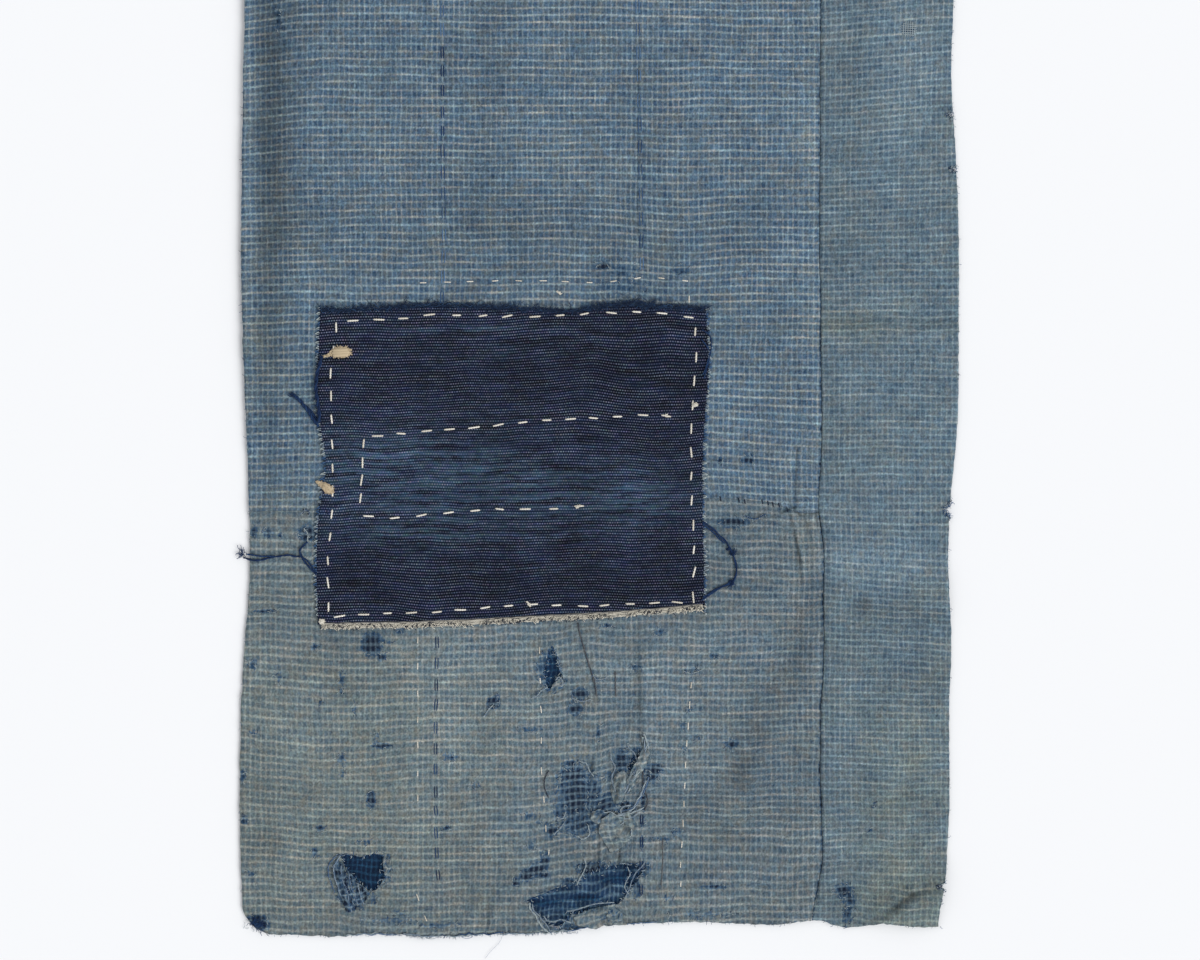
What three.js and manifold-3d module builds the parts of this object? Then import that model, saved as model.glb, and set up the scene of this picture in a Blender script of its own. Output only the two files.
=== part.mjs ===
// Boro patched cloth: worn indigo check cloth pieced from three panels, with a dark patch
// sewn on its front and a darker lining that shows through the torn holes.
// Millimetres. X runs across the cloth, Y runs up along it, and Z is up from the surface
// that it lies on. The origin is on that surface, under the top of the dark patch.

import * as THREE from 'three';
import { mergeVertices } from 'three/addons/utils/BufferGeometryUtils.js';
import Module from 'manifold-3d';

// Widths, lengths and the places of the seams
const loomWidth = 345;
const stripWidth = 80;
const clothLength = 716;
const seamX = 132;
const crossSeamY = -102.5;
const topY = 360;
const patchWidth = 230;
const patchLength = 188;
const patchLeftX = -168;
const patchTopY = 21;

// Thickness of one cloth, the air between two cloths, and the gap along a seam
const clothThickness = 1.0;
const layerGap = 0.3;
const seamGap = 0.3;

// How far the lining stays inside the edge of the front
const liningInset = 3;
const cornerRadius = 18;

// The grid of points that every cloth shares, so that the layers keep the same gap
const gridColumns = 24;
const gridRows = 40;
const gridMargin = 10;

const leftX = seamX - loomWidth;
const rightX = seamX + stripWidth;
const bottomY = topY - clothLength;
const frontLevel = clothThickness + layerGap;
const patchLevel = 2 * frontLevel;
const cutterHeight = 60;
const farAway = 900;

// How far each edge bulges out from its straight line, read along the edge
const leftEdge = [
  { at: 340, out: 0.4 },
  { at: 250, out: -0.6 },
  { at: 143, out: 0.9 },
  { at: 53, out: 1.9 },
  { at: -30, out: 0.0 },
  { at: -85, out: -2.4 },
  { at: -145, out: -3.0 },
  { at: -185, out: 0.2 },
  { at: -229, out: 2.4 },
  { at: -290, out: 2.8 },
];
const rightEdge = [
  { at: -349, out: -9.0 },
  { at: -325, out: -5.4 },
  { at: -295, out: -3.2 },
  { at: -217, out: -2.6 },
  { at: -181, out: -1.4 },
  { at: -145, out: -3.2 },
  { at: -97, out: -2.0 },
  { at: -61, out: 1.6 },
  { at: 10, out: 3.0 },
  { at: 70, out: 2.8 },
  { at: 107, out: 1.4 },
  { at: 155, out: -1.4 },
  { at: 203, out: -0.2 },
  { at: 290, out: 0.8 },
  { at: 345, out: -0.4 },
];
const bottomEdge = [
  { at: -180, out: 2.0 },
  { at: -158, out: 2.6 },
  { at: -130, out: 0.8 },
  { at: -100, out: 2.8 },
  { at: -65, out: 0.8 },
  { at: -29, out: 0.2 },
  { at: 7, out: -4.0 },
  { at: 50, out: -6.0 },
  { at: 115, out: -5.4 },
  { at: 128, out: -7.0 },
  { at: 147, out: -2.8 },
  { at: 172, out: -5.2 },
  { at: 194, out: -3.2 },
];
const topEdge = [
  { at: 150, out: 0.8 },
  { at: 20, out: -0.8 },
  { at: -120, out: 0.6 },
];

// The long seam: how far it wanders to the right of its straight line
const longSeam = [
  { at: -380, out: -5.0 },
  { at: -346, out: -4.2 },
  { at: -333, out: -1.8 },
  { at: -318, out: 0.8 },
  { at: -240, out: 0.2 },
  { at: -181, out: 2.2 },
  { at: -130, out: 0.8 },
  { at: 0, out: 0.4 },
  { at: 180, out: 0.0 },
  { at: 380, out: 0.0 },
];

// The patch's four sides: how far each bulges out from its straight line
const patchLeft = [
  { at: 0, out: 0.6 },
  { at: -40, out: 1.6 },
  { at: -75, out: -3.4 },
  { at: -110, out: 1.2 },
  { at: -150, out: 1.8 },
];
const patchBottom = [
  { at: -167, out: 4.6 },
  { at: -110, out: 3.6 },
  { at: -50, out: 0.8 },
  { at: 5, out: -2.2 },
  { at: 60, out: -6.6 },
];
const patchRight = [
  { at: -140, out: 0.4 },
  { at: -60, out: 0.0 },
  { at: -20, out: 3.0 },
];
const patchTop = [
  { at: 40, out: 1.0 },
  { at: -10, out: -0.8 },
  { at: -90, out: 0.0 },
  { at: -150, out: -1.8 },
];

// Soft folds: a ridge along each line, raised by a smooth hump that dies out at both ends
const folds = [
  { name: 'hemRoll', fromX: -209, fromY: 372, toX: -209, toY: -130, reach: 15, lift: 2.2, fade: 170 },
  { name: 'upperLeft', fromX: -106, fromY: 372, toX: -112, toY: 34, reach: 44, lift: 2.0, fade: 90 },
  { name: 'upperMiddle', fromX: 4, fromY: 372, toX: 8, toY: 62, reach: 40, lift: 1.8, fade: 90 },
  { name: 'upperSeam', fromX: 128, fromY: 372, toX: 130, toY: 60, reach: 26, lift: 1.8, fade: 110 },
  { name: 'stripCross', fromX: 96, fromY: 10, toX: 224, toY: 4, reach: 24, lift: 1.8, fade: 40 },
  { name: 'stripSlant', fromX: 138, fromY: -139, toX: 224, toY: -160, reach: 26, lift: 3.0, fade: 24 },
  { name: 'lowerSlant', fromX: 136, fromY: -162, toX: 76, toY: -272, reach: 24, lift: 2.2, fade: 50 },
  { name: 'stripLong', fromX: 170, fromY: -236, toX: 172, toY: -322, reach: 20, lift: 2.0, fade: 40 },
  { name: 'underPatch', fromX: 25, fromY: -178, toX: 27, toY: -256, reach: 18, lift: 1.5, fade: 30 },
  { name: 'cornerCurl', fromX: 214, fromY: -324, toX: 160, toY: -364, reach: 22, lift: 3.4, fade: 18 },
];

// Torn holes in the lower panel, each an outline of its own corners about a middle point
const tornHoles = [
  {
    name: 'shieldHole',
    x: -143.5,
    y: -320,
    corners: [[-12.5, 10], [-4, 7.5], [0.5, 11], [15, 10.5], [11.5, 4], [14, -3.5], [6.5, -13], [-2, -6], [-11, 3]],
  },
  {
    name: 'bottomTear',
    x: -9.5,
    y: -339,
    corners: [[-34.5, 2.5], [-18, 9], [-4, 14.5], [10, 20], [30, 24.5], [34, 18.5], [30, 11], [22, 1],
      [8, -5], [-8, -7], [-16, -15.5], [-24, -12]],
  },
  {
    name: 'crumpledTear',
    x: -5,
    y: -273,
    corners: [[-17, 9], [-6, 14.5], [9, 12], [16.5, 5], [15, -6], [5, -12.5], [-9, -10], [-18, -2]],
  },
  {
    name: 'narrowTear',
    x: -29.5,
    y: -199,
    corners: [[-6, 10], [1, 12], [6, 5], [4, -8], [-1, -12], [-6, -4]],
  },
];

// Small frayed notches in the right edge
const notches = [
  { y: 134, depth: 5.5, width: 4.5 },
  { y: 101, depth: 5.0, width: 4.0 },
  { y: -103, depth: 5.5, width: 9.0 },
  { y: -328, depth: 6.5, width: 5.5 },
];

const wasm = await Module();
wasm.setup();

// Height of the surface that all the layers follow
function humpOf(fold, x, y) {
  const lengthX = fold.toX - fold.fromX;
  const lengthY = fold.toY - fold.fromY;
  const length = Math.hypot(lengthX, lengthY);
  const along = ((x - fold.fromX) * lengthX + (y - fold.fromY) * lengthY) / length;
  const across = ((x - fold.fromX) * lengthY - (y - fold.fromY) * lengthX) / length;
  const side = Math.min(1, Math.abs(across) / fold.reach);
  const end = Math.min(1, Math.max(0, (length - along) / fold.fade));
  const start = Math.min(1, Math.max(0, (along + fold.fade) / fold.fade));
  const fall = Math.cos(side * Math.PI / 2) ** 2;
  return fold.lift * fall * THREE.MathUtils.smoothstep(end, 0, 1) * THREE.MathUtils.smoothstep(start, 0, 1);
}

function clothHeight(x, y) {
  return folds.reduce((height, fold) => height + humpOf(fold, x, y), 0);
}

// Columns of the grid lie closer together at the rolled left edge and along the seam
const columnPlaces = [
  { share: 0.0, x: leftX - gridMargin },
  { share: 0.2, x: leftX + 24 },
  { share: 0.68, x: seamX - 26 },
  { share: 0.8, x: seamX + 16 },
  { share: 1.0, x: rightX + gridMargin },
];

function columnX(share) {
  const next = Math.max(1, columnPlaces.findIndex((place) => share <= place.share + 1e-9));
  const before = columnPlaces[next - 1];
  const after = columnPlaces[next];
  const part = (share - before.share) / (after.share - before.share);
  return before.x + part * (after.x - before.x);
}

// One cloth's layer over the whole grid: a top face, the same face below it, and a rim
function clothLayer(level) {
  const spanY = clothLength + 2 * gridMargin;
  const middleY = (topY + bottomY) / 2;
  const sheet = new THREE.PlaneGeometry(1, spanY, gridColumns, gridRows);
  const place = sheet.getAttribute('position');
  const count = place.count;
  const points = new Float32Array(count * 6);
  for (let i = 0; i < count; i += 1) {
    const x = columnX(place.getX(i) + 0.5);
    const y = place.getY(i) + middleY;
    const z = level + clothHeight(x, y);
    points.set([x, y, z + clothThickness], i * 3);
    points.set([x, y, z], (count + i) * 3);
  }
  const top = Array.from(sheet.index.array);
  const faces = [...top];
  for (let i = 0; i < top.length; i += 3) {
    faces.push(top[i] + count, top[i + 2] + count, top[i + 1] + count);
  }
  const rim = rimOfGrid();
  rim.forEach((here, i) => {
    const next = rim[(i + 1) % rim.length];
    faces.push(here, here + count, next + count, here, next + count, next);
  });
  const layer = new THREE.BufferGeometry();
  layer.setAttribute('position', new THREE.BufferAttribute(points, 3));
  layer.setIndex(faces);
  return solidOf(layer);
}

// Border points of the grid, counterclockwise seen from above
function rimOfGrid() {
  const wide = gridColumns + 1;
  const last = gridRows * wide;
  const rim = [];
  for (let row = 0; row < gridRows; row += 1) {
    rim.push(row * wide);
  }
  for (let column = 0; column < gridColumns; column += 1) {
    rim.push(last + column);
  }
  for (let row = gridRows; row > 0; row -= 1) {
    rim.push(row * wide + gridColumns);
  }
  for (let column = gridColumns; column > 0; column -= 1) {
    rim.push(column);
  }
  return rim;
}

function solidOf(geometry) {
  const bare = geometry.clone();
  bare.deleteAttribute('normal');
  bare.deleteAttribute('uv');
  const merged = mergeVertices(bare, 1e-4);
  return new wasm.Manifold(new wasm.Mesh({
    numProp: 3,
    vertProperties: new Float32Array(merged.getAttribute('position').array),
    triVerts: new Uint32Array(merged.index.array),
  }));
}

// A tall upright cutter with the plan of a shape
function cutterOf(shape) {
  const prism = new THREE.ExtrudeGeometry(shape, {
    depth: cutterHeight,
    bevelEnabled: false,
    curveSegments: 2,
  });
  prism.translate(0, 0, -cutterHeight / 3);
  return solidOf(prism);
}

// Outline of the whole cloth, drawn in by an inset
function clothOutline(inset) {
  const left = leftEdge.map((row) => new THREE.Vector2(leftX - row.out + inset, row.at));
  const bottom = bottomEdge.map((row) => new THREE.Vector2(row.at, bottomY - row.out + inset));
  const right = rightEdge.map((row) => new THREE.Vector2(rightX + row.out - inset, row.at));
  const top = topEdge.map((row) => new THREE.Vector2(row.at, topY + row.out - inset));
  const shape = new THREE.Shape();
  shape.moveTo(leftX + inset, topY - inset);
  shape.splineThru(left);
  shape.lineTo(leftX + inset - 1, bottomY + inset + cornerRadius);
  shape.quadraticCurveTo(leftX + inset + 4, bottomY + inset + 1, leftX + cornerRadius + 3, bottomY + inset - 1);
  shape.splineThru(bottom);
  shape.lineTo(rightX - 9.5 - inset, bottomY + inset + 4);
  shape.splineThru(right);
  shape.lineTo(rightX - inset, topY - inset);
  shape.splineThru(top);
  shape.closePath();
  return shape;
}

// Everything to the left of the long seam, with the seam moved by an offset
function leftOfSeam(offset) {
  const seam = longSeam.map((row) => new THREE.Vector2(seamX + row.out + offset, row.at));
  const shape = new THREE.Shape();
  shape.moveTo(-farAway, seam[0].y);
  shape.lineTo(seam[0].x, seam[0].y);
  shape.splineThru(seam.slice(1));
  shape.lineTo(-farAway, seam[seam.length - 1].y);
  shape.closePath();
  return shape;
}

function patchOutline() {
  const patchRightX = patchLeftX + patchWidth;
  const patchBottomY = patchTopY - patchLength;
  const left = patchLeft.map((row) => new THREE.Vector2(patchLeftX - row.out, row.at));
  const bottom = patchBottom.map((row) => new THREE.Vector2(row.at, patchBottomY - row.out));
  const right = patchRight.map((row) => new THREE.Vector2(patchRightX + row.out, row.at));
  const top = patchTop.map((row) => new THREE.Vector2(row.at, patchTopY + row.out));
  const shape = new THREE.Shape();
  shape.moveTo(patchLeftX - 1, patchTopY - 2);
  shape.splineThru(left);
  shape.splineThru(bottom);
  shape.splineThru(right);
  shape.lineTo(patchRightX + 1, patchTopY - 1);
  shape.splineThru(top);
  shape.closePath();
  return shape;
}

function holeOutline(hole) {
  return new THREE.Shape(hole.corners.map(([x, y]) => new THREE.Vector2(hole.x + x, hole.y + y)));
}

// A notch is a small triangle whose point lies inside the right edge
function notchOutline(notch) {
  return new THREE.Shape([
    new THREE.Vector2(rightX - notch.depth, notch.y),
    new THREE.Vector2(rightX + gridMargin, notch.y - notch.width),
    new THREE.Vector2(rightX + gridMargin, notch.y + notch.width),
  ]);
}

function pieceMesh(name, solid, color) {
  const cut = solid.getMesh();
  const geometry = new THREE.BufferGeometry();
  geometry.setAttribute('position', new THREE.BufferAttribute(cut.vertProperties, 3));
  geometry.setIndex(new THREE.BufferAttribute(cut.triVerts, 1));
  geometry.computeVertexNormals();
  const material = new THREE.MeshStandardMaterial({ color, roughness: 0.95, metalness: 0 });
  const mesh = new THREE.Mesh(geometry, material);
  mesh.name = name;
  return mesh;
}

// Half of the sheet above or below the cross seam
function halfAcross(above) {
  const half = new THREE.BoxGeometry(2 * farAway, farAway, cutterHeight);
  const edge = crossSeamY + (above ? 0.5 : -0.5) * seamGap;
  half.translate(0, edge + (above ? 0.5 : -0.5) * farAway, 0);
  return solidOf(half);
}

function liningSolid() {
  return clothLayer(0).intersect(cutterOf(clothOutline(liningInset)));
}

function frontSolid() {
  const front = clothLayer(frontLevel).intersect(cutterOf(clothOutline(0)));
  return notches.reduce((solid, notch) => solid.subtract(cutterOf(notchOutline(notch))), front);
}

function lowerPanelSolid(front) {
  const whole = front.intersect(cutterOf(leftOfSeam(-seamGap / 2))).intersect(halfAcross(false));
  return tornHoles.reduce((solid, hole) => solid.subtract(cutterOf(holeOutline(hole))), whole);
}

const front = frontSolid();
const boroCloth = new THREE.Group();
boroCloth.name = 'boro_patched_cloth';
boroCloth.add(
  pieceMesh('lining', liningSolid(), 0x1d324a),
  pieceMesh('upper_panel', front.intersect(cutterOf(leftOfSeam(-seamGap / 2))).intersect(halfAcross(true)), 0x5e7182),
  pieceMesh('lower_panel', lowerPanelSolid(front), 0x6b7678),
  pieceMesh('side_strip', front.subtract(cutterOf(leftOfSeam(seamGap / 2))), 0x687680),
  pieceMesh('indigo_patch', clothLayer(patchLevel).intersect(cutterOf(patchOutline())), 0x293040),
);

export default boroCloth;
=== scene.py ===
import math
import bpy
import numpy as np
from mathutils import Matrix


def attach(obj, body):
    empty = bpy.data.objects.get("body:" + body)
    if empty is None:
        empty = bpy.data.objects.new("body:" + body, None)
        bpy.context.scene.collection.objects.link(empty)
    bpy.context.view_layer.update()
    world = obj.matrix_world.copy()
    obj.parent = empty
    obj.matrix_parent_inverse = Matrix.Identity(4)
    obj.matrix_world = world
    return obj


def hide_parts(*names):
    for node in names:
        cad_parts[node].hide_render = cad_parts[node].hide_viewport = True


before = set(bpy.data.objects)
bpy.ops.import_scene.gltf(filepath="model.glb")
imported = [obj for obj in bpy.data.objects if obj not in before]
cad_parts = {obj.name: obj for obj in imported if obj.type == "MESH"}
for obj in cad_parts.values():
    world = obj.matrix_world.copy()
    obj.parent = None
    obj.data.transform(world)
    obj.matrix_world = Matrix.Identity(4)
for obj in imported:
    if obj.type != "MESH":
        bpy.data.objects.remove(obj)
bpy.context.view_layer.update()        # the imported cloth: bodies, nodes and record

mm = 0.001

# Sizes of the whole cloth in mm, the same as the solids have
cloth = {
    "loomWidth": 345, "stripWidth": 80, "length": 716, "topY": 360, "seamX": 132, "crossSeamY": -102.5,
    "cornerRadius": 18, "edgeReach": 30, "frontLevel": 1.3, "sheetThick": 0.6, "looseness": 0.45,
}
leftX = cloth["seamX"] - cloth["loomWidth"]
rightX = cloth["seamX"] + cloth["stripWidth"]
topY = cloth["topY"]
bottomY = topY - cloth["length"]

# How far each edge bulges out from its straight line: place along the edge, bulge
leftEdge = [(370, 0), (340, 0.4), (250, -0.6), (143, 0.9), (53, 1.9), (-30, 0), (-85, -2.4), (-145, -3),
            (-185, 0.2), (-229, 2.4), (-290, 2.8), (-340, 1.5), (-370, 1)]
rightEdge = [(-370, -9.6), (-349, -9), (-325, -5.4), (-295, -3.2), (-217, -2.6), (-181, -1.4), (-145, -3.2),
             (-97, -2), (-61, 1.6), (10, 3), (70, 2.8), (107, 1.4), (155, -1.4), (203, -0.2), (290, 0.8),
             (370, -0.4)]
bottomEdge = [(-230, 0.5), (-198, 1), (-180, 2), (-158, 2.6), (-130, 0.8), (-100, 2.8), (-65, 0.8),
              (-29, 0.2), (7, -4), (50, -6), (115, -5.4), (128, -7), (147, -2.8), (172, -5.2), (194, -3.2),
              (230, -4)]
topEdge = [(-230, 0), (-120, 0.6), (20, -0.8), (150, 0.8), (230, 0)]
longSeam = [(-380, -5), (-348, -4.3), (-342, -3.4), (-334, -2), (-324, -0.4), (-315, 1), (-296, 1),
            (-266, 0.2), (-237, 0.1), (-216, 0.3), (-205, 1.4), (-183, 2.3), (-167, 2.1), (-155, 1.2),
            (-147, 1.6), (-132, 2.2), (-116, 0.9), (-102, -1.2), (-92, -0.8), (-73, 0.5), (0, 0.2),
            (65, -0.4), (180, 0), (380, 0)]
crossSeam = [(-230, -1.5), (-180, -1), (-60, 3), (50, 6.4), (84, 5.8), (104, 3.5), (114, -0.6), (124, -2.4),
             (140, -1)]


# Soft folds, as in the solids: line from, line to, reach to each side, lift, and length of the fade
folds = {
    "hemRoll": (-209, 372, -209, -130, 15, 2.2, 170),
    "upperLeft": (-106, 372, -112, 34, 44, 2.0, 90),
    "upperMiddle": (4, 372, 8, 62, 40, 1.8, 90),
    "upperSeam": (128, 372, 130, 60, 26, 1.8, 110),
    "stripCross": (96, 10, 224, 4, 24, 1.8, 40),
    "stripSlant": (138, -139, 224, -160, 26, 3.0, 24),
    "lowerSlant": (136, -162, 76, -272, 24, 2.2, 50),
    "stripLong": (170, -236, 172, -322, 20, 2.0, 40),
    "underPatch": (25, -178, 27, -256, 18, 1.5, 30),
    "cornerCurl": (214, -324, 160, -364, 22, 3.4, 18),
}


def smoothStep(value):
    part = np.clip(value, 0, 1)
    return part * part * (3 - 2 * part)


def curveThrough(rows, at):          # smooth curve through the rows of a table, read at each place
    rows = np.array(rows, float)
    rows = rows[np.argsort(rows[:, 0])]
    places, values = rows[:, 0], rows[:, 1]
    slopes = np.gradient(values, places)
    at = np.clip(at, places[0], places[-1])
    step = np.clip(np.searchsorted(places, at) - 1, 0, len(places) - 2)
    gap = places[step + 1] - places[step]
    part = (at - places[step]) / gap
    square, cube = part ** 2, part ** 3
    start = (2 * cube - 3 * square + 1) * values[step] + (cube - 2 * square + part) * gap * slopes[step]
    end = (3 * square - 2 * cube) * values[step + 1] + (cube - square) * gap * slopes[step + 1]
    return start + end


def softNoise(x, y, size, seed):     # smooth random hills about one size across, from -1 to 1
    hills = np.random.RandomState(seed).uniform(-1, 1, (97, 97))
    gridX = np.asarray(x, float) / size + 1009.3
    gridY = np.asarray(y, float) / size + 1013.7
    cellX, cellY = np.floor(gridX).astype(int), np.floor(gridY).astype(int)
    partX, partY = smoothStep(gridX - cellX), smoothStep(gridY - cellY)
    low = hills[cellY % 97, cellX % 97] * (1 - partX) + hills[cellY % 97, (cellX + 1) % 97] * partX
    high = hills[(cellY + 1) % 97, cellX % 97] * (1 - partX)
    high = high + hills[(cellY + 1) % 97, (cellX + 1) % 97] * partX
    return low * (1 - partY) + high * partY


def segmentPlace(x, y, line):        # along (0 to 1), distance to the left of a line, and its length
    fromX, fromY, toX, toY = line
    length = math.hypot(toX - fromX, toY - fromY)
    along = ((x - fromX) * (toX - fromX) + (y - fromY) * (toY - fromY)) / length ** 2
    left = ((y - fromY) * (toX - fromX) - (x - fromX) * (toY - fromY)) / length
    return along, left, length


def foldHeight(x, y):
    height = np.zeros(np.shape(x))
    for fromX, fromY, toX, toY, reach, lift, fade in folds.values():
        along, left, length = segmentPlace(x, y, (fromX, fromY, toX, toY))
        hump = np.cos(np.minimum(1, np.abs(left) / reach) * math.pi / 2) ** 2
        ends = smoothStep((1 - along) * length / fade) * smoothStep((along * length + fade) / fade)
        height = height + lift * hump * ends
    return height


# Sharp tucks: line from, line to, lift on the left side, how fast it sinks away, groove along the line
tucks = {
    "upperTuck": (23, 196, 22, 42, 0.5, 5, 0.35),
    "lowerTuck": (22.5, -180, 25.5, -244, 1.0, 6, 0.05),
    "seamTuck": (118.6, -40, 117, -98, 0.4, 4, 0.15),
    "pucker": (114, -104, 121, -139, 0.9, 5, 0.3),
    "puckerRight": (128, -96, 133, -132, 0.6, 3, 0.4),
    "edgePleat": (-66, -337, -67, -357, 0.9, 4, 0.5),
    "gatherLeft": (-0.4, -298, -1.2, -319, 1.0, 3, 0.7),
    "gatherRight": (11.6, -302, 11.2, -318, 0.8, 2.5, 0.7),
    "clusterFold": (-4.8, -250, -5.4, -268, 0.8, 3, 0.5),
    "clusterFoldRight": (8.6, -254, 9.4, -272, 0.7, 3, 0.5),
    "hemCrease": (-63, -339.5, -44, -339, 0.5, 3, 0.4),
    "flapFold": (-163.5, -313, -158, -334, -0.6, 3, 0.5),
    "seamCrease": (96, -96.6, 64, -94, 0.3, 3, 0.5),
}
# Crumpled areas: middle, reach across and up, height of the creases and their size
crumples = {
    "cluster": (6, -281, 30, 27, 1.5, 6.5),
    "belowCluster": (6, -303, 17, 11, 1.6, 5),
    "shieldFlap": (-156, -322, 8, 15, 0.8, 3.5),
    "shieldSide": (-127, -318, 6, 10, 0.7, 3.5),
    "tearRim": (-5, -334, 46, 20, 0.9, 6),
    "hem": (-20, -352, 110, 7, 0.8, 6),
    "seamCorner": (120, -108, 14, 10, 0.9, 4),
    "narrowTear": (-30, -199, 9, 15, 0.9, 4),
    "besideNarrow": (-13, -217, 12, 10, 0.7, 4),
    "lowerMiddle": (-20, -250, 90, 80, 0.45, 13),
    "leftEdge": (-208, -250, 8, 110, 0.6, 6),
    "cornerRight": (190, -340, 34, 20, 1.0, 9),
}


def tuckHeight(x, y):
    height = np.zeros(np.shape(x))
    for fromX, fromY, toX, toY, lift, sink, groove in tucks.values():
        along, left, length = segmentPlace(x, y, (fromX, fromY, toX, toY))
        ends = smoothStep(along * 4) * smoothStep((1 - along) * 4)
        raised = lift * np.exp(-np.maximum(left, 0) / sink) * smoothStep(left / 0.7 + 0.5)
        height = height + ends * (raised - groove * np.exp(-(left / 0.6) ** 2))
    return height


def crumpleHeight(x, y):
    height = np.zeros(np.shape(x))
    for number, (midX, midY, reachX, reachY, lift, size) in enumerate(crumples.values()):
        near = np.exp(-((x - midX) / reachX) ** 2 - ((y - midY) / reachY) ** 2)
        ridge = 1 - np.abs(softNoise(x * 1.25, y * 0.8, size, 130 + number)) * 2
        height = height + lift * near * (0.35 * ridge + 0.3 * softNoise(x, y, size * 0.5, 150 + number))
    return height


def seamPlaceX(y):
    return (cloth["seamX"] + curveThrough(longSeam, y) + 0.25 * softNoise(y, 0, 5, 6)
            + 0.3 * softNoise(y, 0, 13, 7))


def crossPlaceY(x):
    return cloth["crossSeamY"] + curveThrough(crossSeam, x) + 0.4 * softNoise(x, 0, 5, 8)


def frontTop(x, y):                  # height of the front's upper face, without its edges
    loose = cloth["looseness"]
    height = foldHeight(x, y) + cloth["frontLevel"] + cloth["sheetThick"] + loose
    height = height + loose * 0.55 * softNoise(x, y, 46, 3) + loose * 0.3 * softNoise(x, y, 17, 4)
    height = height + 0.07 * softNoise(x, y, 6, 5)
    height = height + tuckHeight(x, y) + crumpleHeight(x, y)
    nearSeam = seamPlaceX(y) - x      # the main panels are folded under along the long seam
    height = height + 0.55 * smoothStep((11 - np.abs(nearSeam - 6)) / 5) * (nearSeam > 0)
    height = height - 0.25 * np.exp(-((nearSeam - 9.5) / 1.2) ** 2)
    cross = y - crossPlaceY(x)        # and the lower panel is turned under the upper one
    onMain = x < seamPlaceX(y)
    height = (height + onMain * (0.45 * np.exp(-((cross - 4) / 4.5) ** 2)
                                 - 0.2 * np.exp(-(cross / 0.7) ** 2)))
    return height


def spacedLine(start, end, step, fine=()):   # places along a line, closer together near the fine ones
    sample = np.linspace(start, end, 4001)
    local = np.full(sample.shape, float(step))
    for place, half, small in fine:
        local = np.minimum(local, small + 0.22 * np.maximum(0, np.abs(sample - place) - half))
    total = np.concatenate([[0], np.cumsum(np.diff(sample) / local[1:])])
    count = int(math.ceil(total[-1]))
    return np.interp(np.linspace(0, total[-1], count + 1), total, sample)


# Small frayed notches in the right edge: height up the edge, depth, half width
notches = [(134, 4.5, 1.5), (101, 4.5, 1.3), (-103, 4.0, 5.0), (-328, 5.0, 2.0)]


def leftPlaceX(y):
    bulge = curveThrough(leftEdge, y) + 0.25 * softNoise(y, 0, 2.2, 21) + 0.3 * softNoise(y, 0, 9, 22)
    corner = cloth["cornerRadius"]
    below = np.clip((bottomY + corner - y) / corner, 0, 1)
    return leftX - bulge + corner * (1 - np.sqrt(1 - below ** 2 * 0.985))


def rightPlaceX(y):
    place = rightX + curveThrough(rightEdge, y) + 0.25 * softNoise(y, 0, 2.4, 23)
    for at, depth, half in notches:
        place = place - depth * np.clip(1 - np.abs(y - at) / half, 0, 1) ** 1.3
    return place


def bottomPlaceY(x):
    return (bottomY - curveThrough(bottomEdge, x) + 0.5 * softNoise(x, 0, 3.1, 24)
            + 0.35 * softNoise(x, 0, 1.3, 25))


def topPlaceY(x):
    return topY + curveThrough(topEdge, x) + 0.15 * softNoise(x, 0, 6, 26)


def bentGrid(placesX, placesY, left, right, bottom, top):
    x, y = np.meshgrid(placesX, placesY)     # a straight grid, its borders pulled onto the real edges
    reach = cloth["edgeReach"]
    startX, endX, startY, endY = placesX[0], placesX[-1], placesY[0], placesY[-1]
    bentX = x + (left(y) - startX) * np.clip(1 - (x - startX) / reach, 0, 1)
    bentX = bentX + (right(y) - endX) * np.clip(1 - (endX - x) / reach, 0, 1)
    bentY = y + (bottom(bentX) - startY) * np.clip(1 - (y - startY) / reach, 0, 1)
    bentY = bentY + (top(bentX) - endY) * np.clip(1 - (endY - y) / reach, 0, 1)
    return bentX, bentY


def insideOutline(x, y, outline):
    inside = np.zeros(np.shape(x), bool)
    for (x1, y1), (x2, y2) in zip(outline, np.roll(outline, -1, axis=0)):
        if y1 == y2:
            continue
        crosses = ((y1 > y) != (y2 > y)) & (x < (x2 - x1) * (y - y1) / (y2 - y1) + x1)
        inside ^= crosses
    return inside


def nearestOnOutline(x, y, outline):
    best = np.full(np.shape(x), 1e9)
    nearX, nearY = np.array(x, float), np.array(y, float)
    for (x1, y1), (x2, y2) in zip(outline, np.roll(outline, -1, axis=0)):
        square = (x2 - x1) ** 2 + (y2 - y1) ** 2
        part = np.clip(((x - x1) * (x2 - x1) + (y - y1) * (y2 - y1)) / square, 0, 1)
        onX, onY = x1 + part * (x2 - x1), y1 + part * (y2 - y1)
        away = np.hypot(x - onX, y - onY)
        closer = away < best
        best = np.where(closer, away, best)
        nearX, nearY = np.where(closer, onX, nearX), np.where(closer, onY, nearY)
    return best, nearX, nearY


def raggedOutline(corners, middle, step, ragged, seed):    # the outline with small random teeth
    corners = np.array(corners, float) + np.array(middle, float)
    points = []
    for start, end in zip(corners, np.roll(corners, -1, axis=0)):
        count = max(1, int(round(np.linalg.norm(end - start) / step)))
        points += [start + (end - start) * i / count for i in range(count)]
    shift = np.random.RandomState(seed).uniform(-ragged, ragged, (len(points), 2))
    return np.array(points) + shift


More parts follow.
